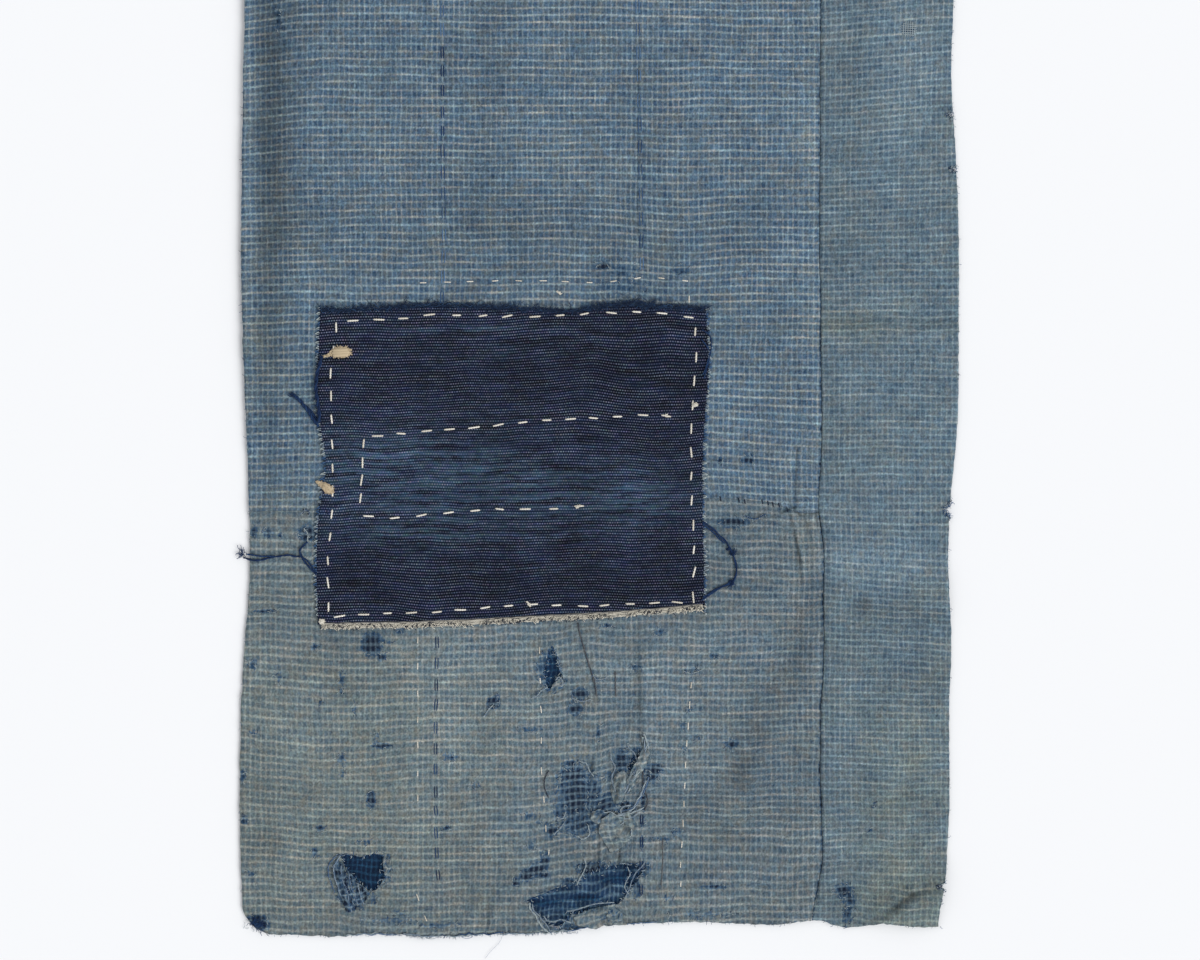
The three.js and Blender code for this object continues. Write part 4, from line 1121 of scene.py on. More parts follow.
def edgeLevel(x, y):                 # fibres that pass the rim of the whole cloth sink towards the surface
    inX = np.minimum(x - leftPlaceX(y), rightPlaceX(y) - x)
    away = np.minimum(inX, y - bottomPlaceY(x))
    inside = smoothStep((away + 3.5) / 4)
    return 0.5 + (frontTop(x, y) - 0.5) * inside


# Raw edges of the patch
patchFray = {
    "topFibres": 1500, "topRadius": 0.17, "topShades": [0.03, 0.12, 0.2, 0.38],
    "topShares": [0.5, 0.3, 0.15, 0.05], "sideLoops": 1.45, "loopRadius": 0.31,
    "largeLoopShades": [0.5, 0.85, 1.0], "smallLoopShades": [0.0, 0.3, 0.7], "sideRadius": 0.13,
    "sideShades": [0.0, 0.2, 0.5, 0.8], "sideShares": [0.4, 0.3, 0.2, 0.1], "selvedgeYarns": 7,
    "selvedgeRadius": 0.34, "yarnPitch": 0.55, "bottomStep": 0.3, "bottomRadius": 0.27,
    "bottomShades": [0.0, 0.7, 0.9, 1.0], "bottomShares": [0.3, 0.1, 0.2, 0.4],
}
chance = np.random.RandomState(110)
frayGroups = []
# above: a dark fuzzy strip of unravelled yarn, taller in a few places
x = chance.uniform(patch["leftX"] + 1, patchRightX + 2, patchFray["topFibres"])
tall = (1.9 + 0.9 * softNoise(x, 0, 14, 111) + 1.8 * np.exp(-((x - 22) / 9) ** 2)
        + 0.6 * np.exp(-((x + 128) / 12) ** 2))
lean = chance.uniform(-0.8, 1, x.size) * 0.5
y = patchSides["top"](x) + lean + tall * chance.uniform(-0.15, 0.85, x.size)
heading = chance.uniform(-0.7, 0.7, x.size) + (chance.rand(x.size) < 0.5) * math.pi
paths = looseFibres(x, y, heading, chance.uniform(2.5, 5.5, x.size), curl=0.9, lift=0.9, seed=112, steps=6,
                    over=frontTop)
paths[:, :, 2] += 0.25 + 0.5 * chance.rand(x.size, 1)
shade = chance.choice(patchFray["topShades"], x.size, p=patchFray["topShares"])
frayGroups.append((paths, patchFray["topRadius"], shade))
# left and right: small loops where the weft turned back
for side, outward in (("left", -1), ("right", 1)):
    y = np.arange(patchBottomY + 2, patch["topY"] - 1, patchFray["sideLoops"])
    y = y + chance.uniform(-0.3, 0.3, y.size)
    x = patchSides[side](y) - outward * 0.3
    large = np.arange(y.size) % 2 == 0
    reach = np.where(large, chance.uniform(1.4, 2.7, y.size), chance.uniform(0.4, 1.2, y.size))
    reach = reach * (1 + 0.4 * softNoise(y, 0, 12, 113))
    part = np.linspace(0, 1, 7)
    lean = chance.uniform(-0.9, 0.3, y.size)
    loopX = x[:, None] + outward * reach[:, None] * np.sin(part * math.pi)
    loopY = y[:, None] + (part - 0.5) * 1.3 + lean[:, None] * np.sin(part * math.pi)
    height = frontTop(loopX, loopY) + 0.75 - 0.35 * np.sin(part * math.pi) + 0.2
    largeShade = chance.choice(patchFray["largeLoopShades"], y.size)
    shade = np.where(large, largeShade, chance.choice(patchFray["smallLoopShades"], y.size))
    frayGroups.append((np.stack([loopX, loopY, height], -1), patchFray["loopRadius"], shade))
    x, y = np.repeat(x, 2), np.repeat(y, 2)
    heading = (0 if outward > 0 else math.pi) + chance.normal(0, 0.8, x.size)
    paths = looseFibres(x - outward * 0.2, y, heading, chance.uniform(0.8, 2.4, x.size), curl=0.6, lift=0.3,
                        seed=114, over=frontTop)
    paths[:, :, 2] += 0.45
    shade = chance.choice(patchFray["sideShades"], x.size, p=patchFray["sideShares"])
    frayGroups.append((paths, patchFray["sideRadius"], shade))
# below: a pale strip of selvedge yarns, crossed by short fibres that leave dark gaps
selvedge = []
x = np.linspace(patch["leftX"] + 1, patchRightX - 0.5, 150)
for number in range(patchFray["selvedgeYarns"]):
    sway = 0.25 * softNoise(x, number * 9, 4, 115)
    y = patchSides["bottom"](x) + 0.9 - patchFray["yarnPitch"] * number + sway
    path = np.stack([x, y, frontTop(x, y) + 1.2 - 0.1 * number], -1)
    broken = chance.uniform(0.7, 1.0)
    radius = patchFray["selvedgeRadius"] * (0.75 + 0.35 * softNoise(x, number * 7, 3, 116))
    selvedge.append((path[None], radius, 0.25 if number == 0 else broken))
x = np.arange(patch["leftX"] + 1, patchRightX, patchFray["bottomStep"])
x = x + chance.uniform(-0.4, 0.4, x.size)
sparse = softNoise(x, 0, 7, 117) + 0.5 * softNoise(x, 0, 2.5, 118)
x = x[chance.uniform(-1, 1, x.size) > sparse * 1.1 - 0.2]
y = patchSides["bottom"](x) + chance.uniform(-2.4, 0.4, x.size)
heading = -math.pi / 2 + chance.choice([-0.7, 0.7], x.size) + chance.normal(0, 0.25, x.size)
paths = looseFibres(x, y, heading, chance.uniform(1.2, 2.6, x.size), curl=0.3, lift=0.3, seed=115,
                    over=frontTop)
paths[:, :, 2] += np.linspace(1.5, 0.9, 5)
shade = chance.choice(patchFray["bottomShades"], x.size, p=patchFray["bottomShares"])
selvedge.append((paths, patchFray["bottomRadius"], shade))
tubePiece("patchSelvedge", "selvedge", 3, selvedge)
tubePiece("patchFrayedEdges", "fibre", 3, frayGroups)
print("patch edges made")


def smoothPath(corners, count, height, wander, seed, level=surfaceTop):
    # a thread laid through its corners
    corners = np.array(corners, float)
    total = np.concatenate([[0], np.cumsum(np.hypot(*np.diff(corners, axis=0).T))])
    at = np.linspace(0, total[-1], count)
    x = curveThrough(np.stack([total, corners[:, 0]], 1), at)
    y = curveThrough(np.stack([total, corners[:, 1]], 1), at)
    x = x + wander * softNoise(at, seed, 5, 120)
    y = y + wander * softNoise(at, seed + 40, 5, 121)
    return np.stack([x, y, level(x, y) + height], -1)[None]


def plied(path, spread, turns):      # two plies wound around one path
    part = np.arange(path.shape[1]) * turns
    ahead = np.gradient(path[0], axis=0)
    heading = np.arctan2(ahead[:, 1], ahead[:, 0])
    plies = []
    for ply in (0, math.pi):
        shift = spread * np.cos(part + ply)
        offset = np.stack([-shift * np.sin(heading), shift * np.cos(heading), spread * np.sin(part + ply)],
                          -1)
        plies.append(path[0] + offset)
    return np.array(plies)


# Loose dark threads beside the patch: path, radius of a ply, tone
looseThreads = {
    "leftBundle": ([(-166.5, -11), (-169.5, -22), (-168.8, -40), (-167.5, -50)], 0.75, 0.05),
    "leftTuft": ([(-183.6, -34), (-178.8, -38), (-173.4, -46), (-168.8, -53)], 0.7, 0.2),
    "leftTuftSide": ([(-184.5, -33), (-178, -39.5), (-172, -45), (-168, -51)], 0.5, 0.1),
    "leftLoop": ([(-170, -141.5), (-178.8, -131), (-179.6, -127.5), (-175.5, -122.3)], 0.42, 0.1),
    "leftLoopDouble": ([(-170, -140), (-176, -133), (-179.4, -130.6)], 0.36, 0.2),
    "leftLine": ([(-178.8, -131), (-187, -130.3), (-195, -131), (-208.5, -133), (-214, -131.5)], 0.42, 0.1),
    "leftLineDouble": ([(-195, -130.6), (-203, -130.8), (-212, -129.6)], 0.36, 0.25),
    "rightLoop": ([(61.5, -110), (68.7, -115.4), (75.4, -122), (79.4, -129), (81.4, -141), (78.7, -146.5),
                   (70, -150), (61.5, -155.6)], 0.42, 0.12),
    "rightLoopDouble": ([(61.5, -111.5), (68, -116.5), (74.8, -123)], 0.34, 0.25),
    "rightLoopEnd": ([(78.7, -146), (69, -151.5), (61, -157)], 0.36, 0.2),
    "rightEdge": ([(61, 5), (66, 1), (66.6, -5), (65.4, -13), (62.4, -24)], 0.3, 0.15),
    "rightEdgeDouble": ([(61, -1), (65, -7), (64, -16), (61.5, -22)], 0.26, 0.3),
}
threadGroups = []
for number, (corners, radius, tone) in enumerate(looseThreads.values()):
    path = smoothPath(corners, 34, height=0.45 + radius, wander=0.35, seed=number * 7,
                      level=edgeLevel if corners[-1][0] < -212 else surfaceTop)
    threadGroups.append((plied(path, spread=radius * 0.75, turns=0.75), radius, [tone, tone + 0.15]))
# Knots on the right loop: place, size
loopKnots = [(79.3, -129, 1.5), (78.6, -146.6, 1.7), (76.5, -126.5, 0.8)]
for knotX, knotY, size in loopKnots:
    turns = np.linspace(0, 22, 44)
    ball = [knotX + size * np.sin(turns) * np.cos(turns * 0.37),
            knotY + size * np.cos(turns) * np.cos(turns * 0.23)]
    height = frontTop(knotX, knotY) + 1.0 + size * 0.5 * np.sin(turns * 0.61)
    threadGroups.append((np.stack([ball[0], ball[1], height], -1)[None], 0.42, 0.08))
# Short ends that stand off the threads: place, reach, number, heading
shortEnds = [(-214.5, -129.5, 3.6, 22, 2.6), (-184, -34, 2.5, 10, 2.6), (79.3, -129, 2.6, 14, 1.0),
             (78.6, -147, 3, 18, -1.2), (-207.5, -350, 4, 34, -0.2), (-204, -351.6, 4, 34, 0.1)]
for endX, endY, reach, count, heading in shortEnds:
    x = np.full(count, endX) + chance.normal(0, 0.6, count)
    y = np.full(count, endY) + chance.normal(0, 1.2, count)
    turn = heading + chance.normal(0, 1.1, count)
    paths = looseFibres(x, y, turn, chance.uniform(0.6, 1.2, count) * reach, curl=0.9, lift=0.8, seed=117,
                        steps=6, over=edgeLevel)
    paths[:, :, 2] += 0.4
    threadGroups.append((paths, 0.15, chance.uniform(0, 0.6, count)))
tubePiece("looseDarkThreads", "indigo", 5, threadGroups)

# Tan tufts caught on the patch and small white knots: middle, half length, half width, heading, fibres
tufts = {
    "upper": (-155.4, -8.6, 6.4, 3.1, 0.06, 420, 1.0),
    "lower": (-164.2, -89.4, 5.2, 2.2, -0.62, 300, 0.8),
    "lowerTail": (-168.5, -86.4, 2.2, 1.0, -0.2, 60, 0.4),
    "upperTail": (-163.5, -10.5, 3, 0.8, 0.3, 50, 0.3),
}
whiteKnots = {
    "right": (57, -40, 1.6, 1.2, 0.3, 90, 0.8), "innerEnd": (39.6, -46.6, 0.9, 0.8, 0, 40, 0.5),
    "lowerEnd": (-13.2, -100.9, 1.5, 0.6, 0.5, 50, 0.5),
    "bottomEnd": (-42.6, -159.2, 2.1, 0.6, -0.9, 50, 0.5),
    "above": (-24.6, 27.2, 1.7, 0.6, -0.5, 40, 0.4), "corner": (-166.6, -169.6, 1.6, 1.3, 0.2, 70, 0.6),
}
for name, table, material, tones in (("tanTufts", tufts, "tan", (0.3, 0.9)),
                                     ("whiteKnots", whiteKnots, "white", (0.4, 1.0))):
    groups = []
    for number, (midX, midY, halfX, halfY, heading, count, lift) in enumerate(table.values()):
        radius, turn = np.sqrt(chance.rand(count)), chance.uniform(0, 2 * math.pi, count)
        u, v = radius * np.cos(turn) * halfX, radius * np.sin(turn) * halfY
        x = midX + u * math.cos(heading) - v * math.sin(heading)
        y = midY + u * math.sin(heading) + v * math.cos(heading)
        paths = looseFibres(x, y, chance.normal(heading, 0.7, count),
                            chance.uniform(0.3, 0.9, count) * (0.5 + 0.6 * halfY), curl=1.6, lift=0.25,
                            seed=118 + number)
        paths[:, :, 2] += (0.3 + lift * (1 - radius ** 2) * chance.uniform(0.5, 1, count))[:, None]
        groups.append((paths, 0.2, chance.uniform(tones[0], tones[1], count)))
        # a soft core under the fibres, drawn out along the tuft
        for side in (-0.45, 0.0, 0.45):
            along = np.linspace(-0.82, 0.82, 11) * math.sqrt(1 - side ** 2)
            coreX = midX + along * halfX * math.cos(heading) - side * halfY * math.sin(heading)
            coreY = midY + along * halfX * math.sin(heading) + side * halfY * math.cos(heading)
            core = np.stack([coreX, coreY, surfaceTop(coreX, coreY) + 0.15 * halfY], -1)
            groups.append((core[None], halfY * 0.5 * np.sqrt(1 - along ** 2), 0.55))
    tubePiece(name, material, 6, groups)
print("loose threads made")


# Torn places: scraps of the cloth that stand loose, with ragged borders
def scrapOutline(x, y, outline):
    keep = insideOutline((x[:-1, :-1] + x[1:, 1:]) / 2, (y[:-1, :-1] + y[1:, 1:]) / 2, outline)
    padded = np.pad(keep, 1)
    corners = np.stack([padded[:-1, :-1], padded[:-1, 1:], padded[1:, :-1], padded[1:, 1:]])
    border = corners.any(0) & ~corners.all(0)
    nearX, nearY = nearestOnOutline(x, y, outline)[1:]
    return keep, np.where(border, nearX, x), np.where(border, nearY, y)


# Scraps: corners, height over the panel, crease height and size, heading of the creases, worn share
scraps = {
    "shieldFlap": ([(-158.4, -311.8), (-154.8, -314.4), (-149.6, -320.6), (-143.6, -326.8),
                    (-137.6, -332.6), (-140.4, -337), (-145.2, -340), (-147.6, -344.2), (-151.8, -344.2),
                    (-154.2, -337), (-157.8, -328), (-159.6, -319)], 0.7, 1.4, 1.5, -1.35, 0.84),
    "shieldRight": ([(-130, -309), (-126, -309), (-124.5, -315), (-125.5, -321), (-128, -327), (-132, -331),
                     (-133, -329), (-128.6, -323), (-130, -316)], 0.4, 1.0, 1.5, 1.2, 0.5),
    "clusterFlap": ([(1, -288), (6, -284.6), (12, -287), (17.5, -283), (20.6, -292), (19, -299),
                     (12.5, -305), (7.4, -309), (3.2, -303), (-1, -296)], 1.0, 2.4, 4.2, -0.8, 0.1),
    "clusterBlue": ([(-5, -283.5), (0, -282), (5, -285), (4, -290), (-1, -291.5), (-6, -288)], 1.0, 1.2,
                    2.6, 0.3, 0.5),
    "clusterRag": ([(24.6, -238), (27.8, -240.5), (29.6, -249), (27.6, -256), (22.4, -264), (18.4, -272),
                    (14.8, -270.5), (17, -262), (22, -253), (25.4, -246)], 1.2, 2.2, 2.4, 1.15, 0.12),
    "clusterSide": ([(8.6, -262), (13.4, -258.5), (17, -262), (16.6, -270), (13, -278), (8.4, -279),
                     (6.4, -270)], 0.6, 1.5, 3.0, 1.3, 0.0),
    "tearLow": ([(-9, -343), (2, -340.5), (9, -339), (10, -345), (5, -350), (-2, -354), (-13, -352),
                 (-16, -347)], 0.4, 1.4, 4.0, 0.4, 0.15),
    "tearRosette": ([(5, -342.5), (10, -342), (14, -345), (13, -349), (8, -350.5), (4, -347.5)], 0.8, 1.0,
                    1.8, 0.9, 0.4),
    "narrowFlap": ([(-28, -207), (-24, -203.5), (-20.5, -205), (-22.5, -209.5), (-27, -213), (-31, -213.5)],
                   0.6, 1.2, 1.8, 0.6, 0.4),
}
scrapPieces = []
for number, (name, (corners, lift, relief, size, turn, worn)) in enumerate(scraps.items()):
    outline = raggedOutline(corners, (0, 0), 1.1, 0.35, 160 + number)
    low, high = outline.min(0) - 0.8, outline.max(0) + 0.8
    x, y = np.meshgrid(np.arange(low[0], high[0], 0.62), np.arange(low[1], high[1], 0.62))
    keep, x, y = scrapOutline(x, y, outline)
    middle = outline.mean(0)
    across = (x - middle[0]) * math.sin(turn) - (y - middle[1]) * math.cos(turn)
    along = (x - middle[0]) * math.cos(turn) + (y - middle[1]) * math.sin(turn)
    across = across + 0.9 * softNoise(x, y, size * 2.2, 165 + number)
    folded = 1 - 2 * np.abs(softNoise(across, along * 0.28, size, 170 + number))
    top = frontTop(x, y) + lift + relief * (0.45 * folded + 0.2 * softNoise(x, y, size * 0.7, 180 + number))
    turnedX = x + 0.8 * folded + 0.12 * (y - middle[1]) + 0.7 * softNoise(x, y, 5, 185 + number)
    turnedY = y * 1.15 + 1.0 * folded - 0.2 * (x - middle[0]) + 0.9 * softNoise(x, y, 4, 186 + number)
    # tone of the scraps: painted shade in the hollows of their creases and painted light on their ridges
    wearAndShade = {"worn": worn + 0.4 * softNoise(across, along * 0.14, 1.1, 190 + number) - 0.2 * folded,
            "tone": 0.92 + 0.34 * folded, "warm": np.full(x.shape, 0.5)}
    piece = clothPiece(name, x, y, np.maximum(top, frontTop(x, y) + 0.15), 0.35, keep,
                       (turnedX, turnedY), wearAndShade)
    piece.data.materials.append(materials["lower"])
    scrapPieces.append(piece)
bpy.ops.object.select_all(action="DESELECT")
for piece in scrapPieces:
    piece.select_set(True)
bpy.context.view_layer.objects.active = scrapPieces[0]
bpy.ops.object.join()
scrapPieces[0].name = "tornScraps"
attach(scrapPieces[0], "root")

# Strands drawn out of the torn places: path, height, radius, tone
strands = {
    "ragStrip": ([(26.4, -236.8), (28.4, -241), (28.8, -248), (24.6, -257.8), (19.2, -266.8), (16.8, -271)],
                 1.3, 0.55, 0.95),
    "ragStripSide": ([(27, -240), (27.2, -249), (22.6, -258.5), (17.8, -267), (14.4, -272.4)], 1.6, 0.45,
                     0.8),
    "ragStripThird": ([(25, -252), (21.4, -259.5), (20, -267), (16, -273)], 1.2, 0.4, 0.7),
    "ragStripFourth": ([(28.6, -243), (27, -250), (24, -255), (21, -262)], 1.6, 0.4, 1.0),
    "ragStripLow": ([(27.6, -265), (24, -275.2), (19.2, -281.8), (10.8, -286)], 1.2, 0.5, 0.9),
    "ragStripLowSide": ([(29, -263), (25.6, -274), (20, -280), (12, -284)], 1.0, 0.42, 0.65),
    "tangle": ([(1.2, -284.2), (6.3, -283), (12, -286), (20.4, -282.7), (25.8, -281)], 1.5, 0.42, 0.95),
    "tangleSecond": ([(4, -287.5), (10, -285), (16, -288), (22, -284)], 1.4, 0.36, 0.85),
    "tangleThird": ([(12, -292), (15, -287), (13, -282), (18, -279)], 1.6, 0.34, 0.9),
    "loopLow": ([(-7.2, -292), (-6.8, -297.8), (-9.7, -299.5), (-13.2, -298)], 0.9, 0.36, 0.95),
    "loopRight": ([(17.2, -286), (19.2, -296.8), (17.2, -299.8), (13.8, -299.2)], 1.2, 0.4, 1.0),
    "curl": ([(-21.6, -291), (-25, -294.5), (-27, -297)], 0.8, 0.34, 0.9),
    "curlUp": ([(-26, -287.2), (-23.4, -288), (-19.8, -283.6)], 0.8, 0.34, 0.95),
    "curlTop": ([(-13, -253.5), (-8, -255), (-5.5, -259.5), (-3.5, -262)], 1.0, 0.32, 0.95),
    "rimTop": ([(16, -244), (21, -249), (22.4, -256), (18, -262)], 0.9, 0.34, 0.85),
    "rimSide": ([(6, -249), (8.6, -256), (7.4, -264), (9, -271)], 0.9, 0.34, 0.85),
    "tearStrand": ([(-42.6, -338.2), (-36, -350.2), (-30.6, -355.9)], 0.9, 0.5, 1.0),
    "tearStrandSecond": ([(-41, -339), (-35, -348), (-31, -352), (-29, -357)], 0.8, 0.36, 0.85),
    "tearStrandThird": ([(-34, -346), (-29, -349), (-24, -348), (-17, -350)], 0.8, 0.34, 0.9),
    "tearHem": ([(-20, -343), (-12, -341.5), (-2, -338.5), (8, -337.5)], 0.6, 0.34, 0.9),
    "beigeThread": ([(-9.3, -310.9), (-8.4, -315.4), (-13.8, -327.4)], 0.9, 0.3, 1.0),
    "tearRight": ([(16.5, -316), (18, -322), (15.5, -328), (17, -333)], 0.8, 0.3, 0.95),
    "tearRightSecond": ([(27, -313), (23, -319), (19, -326), (16, -334)], 0.8, 0.3, 0.8),
    "flapRim": ([(-155.6, -309.5), (-158.8, -316), (-158.4, -324), (-155, -333)], 1.4, 0.4, 0.8),
    "flapRimOut": ([(-157, -309), (-162, -315), (-162.6, -322), (-158.5, -331)], 0.5, 0.3, 0.6),
    "flapStrand": ([(-155.4, -316), (-153.6, -326), (-150.4, -336), (-149, -343)], 1.3, 0.36, 0.72),
    "flapStrandLow": ([(-150.6, -321), (-148.4, -330), (-145.6, -339)], 1.3, 0.34, 0.7),
    "flapStrandSide": ([(-145.4, -327), (-143.4, -333), (-142, -339)], 1.2, 0.34, 0.8),
    "flapStrandDark": ([(-152.8, -320), (-150.8, -331), (-147.6, -342)], 1.2, 0.4, 0.15),
    "starTail": ([(-64.5, -220), (-66.5, -223), (-70, -226.5)], 0.6, 0.3, 1.0),
    "starArm": ([(-62, -215.5), (-60.2, -213)], 0.6, 0.26, 0.9),
    "narrowCurl": ([(-26.5, -204.5), (-23.8, -203), (-22.4, -206), (-24, -209)], 1.0, 0.32, 0.95),
    "narrowTail": ([(-32, -209), (-38, -214), (-42, -216.5)], 0.6, 0.34, 0.9),
    "spotRim": ([(-17, -215), (-11, -217.5), (-6, -216.5)], 0.6, 0.28, 0.9),
    "blueSpotRim": ([(50, -199), (55, -200.5), (61, -198.5)], 0.5, 0.26, 1.0),
    "paleThread": ([(-3.8, -201), (-2, -203.8), (3.6, -203.5)], 0.5, 0.28, 0.95),
    "paleCurl": ([(-176.8, -113.5), (-174.5, -117), (-175.5, -121)], 0.7, 0.3, 1.0),
    "seamLoop": ([(-178, -104.8), (-175.8, -102.8), (-173.6, -104.6)], 0.5, 0.3, 0.2),
    "seamTangle": ([(86, -106), (93, -108), (99, -105.5)], 0.5, 0.3, 0.3),
}
darkStrands = {
    "wornYarn": ([(-13.2, -170.8), (-12.2, -176.6), (-9.6, -185.8), (-7.4, -193.4), (-4.9, -201),
                  (-3, -207.7), (-1.8, -214.6)], 0.12, 0.42, 0.06),
    "wornYarnShort": ([(9.2, -200), (9.3, -214.5)], 0.1, 0.34, 0.08),
    "curvedThread": ([(-30.8, -259), (-33.3, -265.6), (-32.7, -271), (-30.8, -275.2)], 0.3, 0.34, 0.0),
    "longDark": ([(37.6, -300), (37.4, -318), (36.6, -328)], 0.15, 0.28, 0.1),
    "clusterDark": ([(25.6, -258), (26.4, -270), (28.6, -277), (27, -283)], 0.5, 0.34, 0.05),
}
tornFray = {"copies": 2, "holeRadius": 0.15, "holeShades": [0.2, 0.5, 0.8, 1.0],
            "holeShares": [0.3, 0.3, 0.25, 0.15], "spotRadius": 0.12, "spotShades": [0.1, 0.45, 0.85, 1.0],
            "hairRadius": 0.11, "hairLength": (0.8, 2.6)}
strandGroups = []
for number, (corners, height, radius, tone) in enumerate(strands.values()):
    path = smoothPath(corners, 36, height=height * 0.6 + 0.2, wander=0.75, seed=200 + number)
    strandGroups.append((plied(path, spread=radius * 0.6, turns=0.6), radius * 0.62, [tone, tone - 0.15]))
    # fine hairs that stand off each strand
    places = path[0][::2]
    count = len(places)
    heading = chance.uniform(0, 6.3, count)
    hairs = looseFibres(places[:, 0], places[:, 1], heading, chance.uniform(*tornFray["hairLength"], count),
                        curl=1.0, lift=0.6, seed=210 + number)
    hairs[:, :, 2] += 0.5
    strandGroups.append((hairs, tornFray["hairRadius"], chance.uniform(0.4, 1.0, count)))
yarnGroups = []
seamTicks = {"places": (-177.6, -175, -163.6, 72, 83, 86.5, 97, 100.4, 103.4, 107, 112), "drop": 2.6,
             "radius": 0.34}
for number, tickX in enumerate(seamTicks["places"]):
    tickY = float(crossPlaceY(tickX)) + 1.2 - 0.5 * (number % 3)
    path = smoothPath([(tickX, tickY), (tickX + 0.5, tickY - seamTicks["drop"])], 7, height=0.3, wander=0.1,
                      seed=280 + number)
    yarnGroups.append((path, seamTicks["radius"], 0.0))
for number, (corners, height, radius, tone) in enumerate(darkStrands.values()):
    path = smoothPath(corners, 40, height=height + 0.1, wander=0.1, seed=260 + number)
    yarnGroups.append((plied(path, spread=radius * 0.5, turns=0.8), radius * 0.6, [tone, tone + 0.1]))
tubePiece("wornYarns", "selvedge", 4, yarnGroups)
# A small darned place near the top of the strip: crossed pale yarns over a worn spot
darning = {"middle": (184.8, 185), "reach": 4.2, "yarns": 6, "radius": 0.2}
for number in range(darning["yarns"]):
    side = (number / (darning["yarns"] - 1) - 0.5) * 1.6 * darning["reach"]
    half = math.sqrt(darning["reach"] ** 2 - side ** 2) + 0.8
    midX, midY = darning["middle"]
    for corners in ([(midX + side, midY - half), (midX + side + 0.4, midY + half)],
                    [(midX - half, midY + side), (midX + half, midY + side - 0.3)]):
        strandGroups.append((smoothPath(corners, 9, height=0.25, wander=0.3, seed=240 + number),
                             darning["radius"], 0.9))
# Yarns that have come loose along the lower hem: from, to, tone
hemYarns = [(-152, -134, 0.95), (-146, -122, 0.7), (-118, -97, 0.85), (-92, -70, 0.95), (-84, -58, 0.4),
            (-60, -40, 0.85), (-34, -16, 0.95), (-20, -2, 0.5), (16, 34, 0.7)]
for number, (fromX, toX, tone) in enumerate(hemYarns):
    x = np.linspace(fromX, toX, 26)
    y = bottomPlaceY(x) + 0.5 - 0.5 * (number % 2) + 0.7 * softNoise(x, number * 9, 3.5, 290)
    path = np.stack([x, y, edgeLevel(x, y) + 0.55], -1)[None]
    strandGroups.append((plied(path, spread=0.22, turns=0.6), 0.2, [tone, tone - 0.2]))
# Fray all round the holes and over the worn spots
for number, outline in enumerate(holeOutlines.values()):
    inward = outline.mean(0) - outline
    for copy in range(tornFray["copies"]):
        shift = chance.normal(0, 0.5, outline.shape)
        heading = np.arctan2(inward[:, 1], inward[:, 0])
        heading = np.round(heading / (math.pi / 2)) * math.pi / 2 + chance.normal(0, 0.35, len(outline))
        heading = heading + (chance.rand(len(outline)) < 0.3) * math.pi
        paths = looseFibres(outline[:, 0] + shift[:, 0], outline[:, 1] + shift[:, 1], heading,
                            chance.uniform(0.6, 2.6, len(outline)), curl=0.5, lift=0.3,
                            seed=270 + number * 4 + copy, over=frontTop)
        paths[:, :, 2] += 0.05
        shade = chance.choice(tornFray["holeShades"], len(outline), p=tornFray["holeShares"])
        strandGroups.append((paths, tornFray["holeRadius"], shade))
for number, (spotX, spotY, halfX, halfY, strength) in enumerate(wornSpots):
    count = 3 + int(halfX + halfY)
    turn = chance.uniform(0, 2 * math.pi, count)
    x, y = spotX + np.cos(turn) * halfX * 0.9, spotY + np.sin(turn) * halfY * 0.9
    heading = chance.choice([0, 0.5, 1.0, 1.5], count) * math.pi + chance.normal(0, 0.35, count)
    length = chance.uniform(*tornFray["hairLength"], count)
    paths = looseFibres(x, y, heading, length, curl=0.6, lift=0.35, seed=300 + number, drop=0.1,
                        over=edgeLevel)
    strandGroups.append((paths, tornFray["spotRadius"], chance.choice(tornFray["spotShades"], count)))
tubePiece("tornStrands", "fibre", 4, strandGroups)
print("torn places made")

# Raw outer edges: short fibres, denser along the bottom and at the notches
outerFibres = {"bottom": 400, "left": 70, "right": 60, "radius": 0.13, "shades": [0.1, 0.4, 0.8, 1.0],
               "shares": [0.3, 0.3, 0.2, 0.2], "notch": 90, "notchRadius": 0.15,
               "notchShades": [0.25, 0.5, 0.9]}
edgeGroups = []
chance = np.random.RandomState(400)
for where in ("bottom", "left", "right"):
    count = outerFibres[where]
    if where == "bottom":
        x = np.concatenate([chance.uniform(-205, 205, count // 3), chance.uniform(-140, -15, count)])
        y = bottomPlaceY(x) + 0.5
        heading = -math.pi / 2 + chance.normal(0, 0.9, x.size)
    elif where == "left":
        y = chance.uniform(bottomY + 20, 210, count)
        x = leftPlaceX(y) + 0.4
        heading = math.pi + chance.normal(0, 0.8, count)
    else:
        notch = [at + half * chance.normal(0, 0.6, 60) for at, depth, half in notches]
        y = np.concatenate([chance.uniform(bottomY + 5, 210, count)] + notch)
        x = rightPlaceX(y) - 0.4
        heading = chance.normal(0, 0.8, y.size)
    paths = looseFibres(x, y, heading, chance.uniform(0.8, 2.6, x.size), curl=0.8, lift=0.3,
                        seed=401 + count, over=edgeLevel)
    shade = chance.choice(outerFibres["shades"], x.size, p=outerFibres["shares"])
    edgeGroups.append((paths, outerFibres["radius"], shade))
count = outerFibres["notch"]         # and a tuft in the widest notch
notchY = chance.uniform(notches[2][0] - notches[2][2], notches[2][0] + notches[2][2], count)
notchFibres = looseFibres(rightPlaceX(notchY) - 0.6, notchY, chance.normal(0, 0.7, count),
                          chance.uniform(1, 3.8, count), curl=1.2, lift=0.3, seed=405, steps=6, drop=0.3)
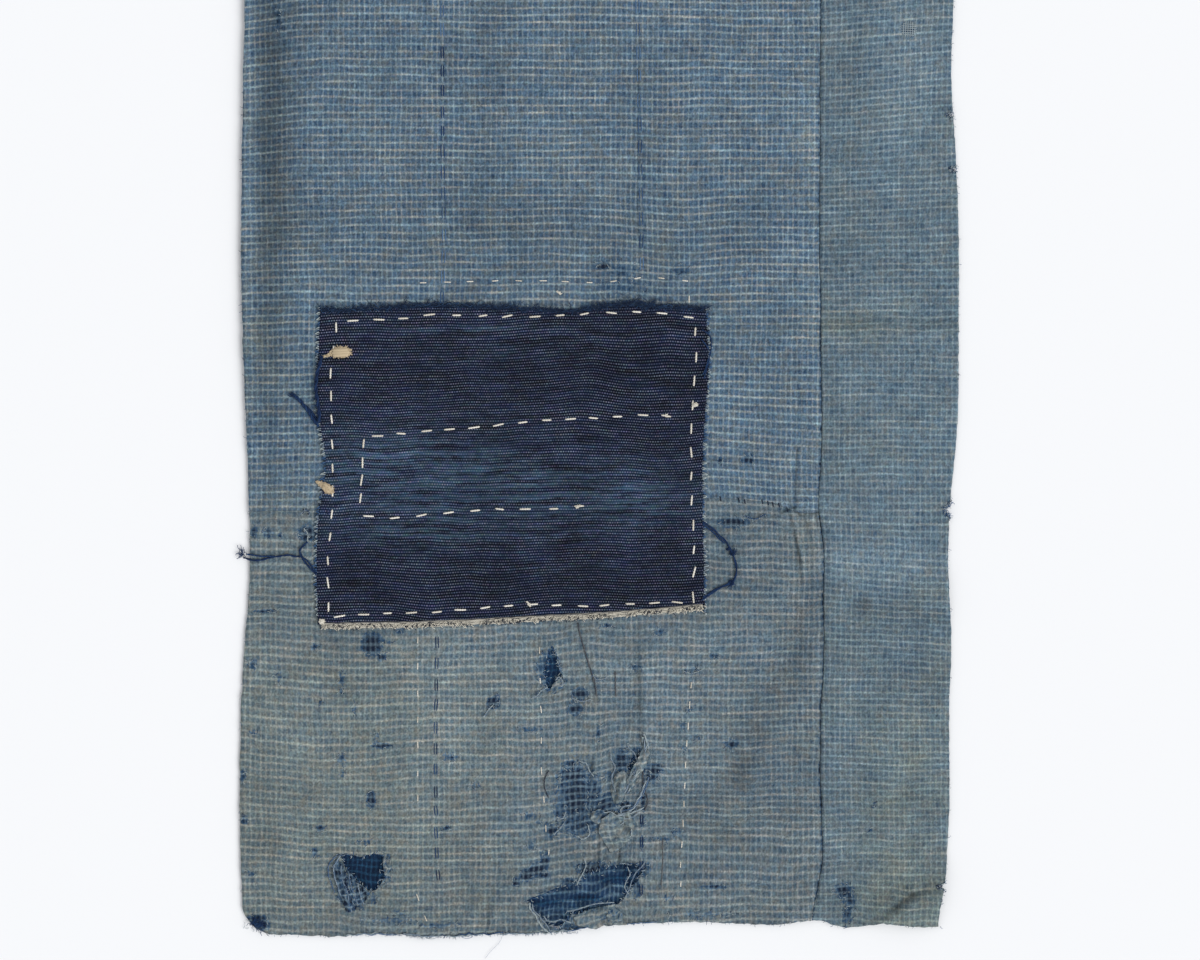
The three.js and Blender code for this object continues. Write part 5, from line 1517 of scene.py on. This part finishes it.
edgeGroups.append((notchFibres, outerFibres["notchRadius"],
                   chance.choice(outerFibres["notchShades"], count)))
edgeHairs = {
    "bottomHair": ([(-58, -357), (-60, -362), (-66, -368), (-69, -372)], 0.07, 0.5),
    "hemLoop": ([(-96, -357), (-99, -360), (-104, -359), (-103, -356)], 0.14, 0.8),
    "hemLoopSecond": ([(-84, -357), (-82, -359.5), (-77, -359), (-76, -356)], 0.14, 0.5),
}
for number, (corners, radius, tone) in enumerate(edgeHairs.values()):
    edgeGroups.append((smoothPath(corners, 16, height=0.25, wander=0.2, seed=410 + number, level=edgeLevel),
                       radius, tone))
tubePiece("outerFray", "fibre", 3, edgeGroups)
print("outer edges made")

# Floor, light and camera
studio = {"floorSize": 6.0, "sunTurn": (math.radians(52), 0, math.radians(52)),
          "sunSoftness": math.radians(40), "sunStrength": 2.1, "skyStrength": 0.66, "cameraHeight": 1.70,
          "lens": 85, "viewMiddleY": -0.085}
bpy.ops.mesh.primitive_plane_add(size=studio["floorSize"], location=(0, 0, 0))
floor = bpy.context.active_object
floor.name = "floor"
paper, add = newMaterial("whitePaperFloor")
finishMaterial(add, "#f3f4f5", roughness=0.9, sheen=0.0)
floor.data.materials.append(paper)
world = bpy.data.worlds.new("paleStudio")
world.use_nodes = True
world.node_tree.nodes["Background"].inputs["Color"].default_value = hexColor("#fbfcff")
world.node_tree.nodes["Background"].inputs["Strength"].default_value = studio["skyStrength"]
bpy.context.scene.world = world
keyData = bpy.data.lights.new("keyLight", "SUN")
keyData.energy = studio["sunStrength"]
keyData.angle = studio["sunSoftness"]
keyLight = bpy.data.objects.new("keyLight", keyData)
bpy.context.collection.objects.link(keyLight)
keyLight.rotation_euler = studio["sunTurn"]
cameraData = bpy.data.cameras.new("camera")
cameraData.lens = studio["lens"]
cameraData.sensor_width = 36
camera = bpy.data.objects.new("camera", cameraData)
bpy.context.collection.objects.link(camera)
camera.location = (0, studio["viewMiddleY"], studio["cameraHeight"])
bpy.context.scene.camera = camera
bpy.context.scene.view_settings.view_transform = "Standard"
print("studio made")
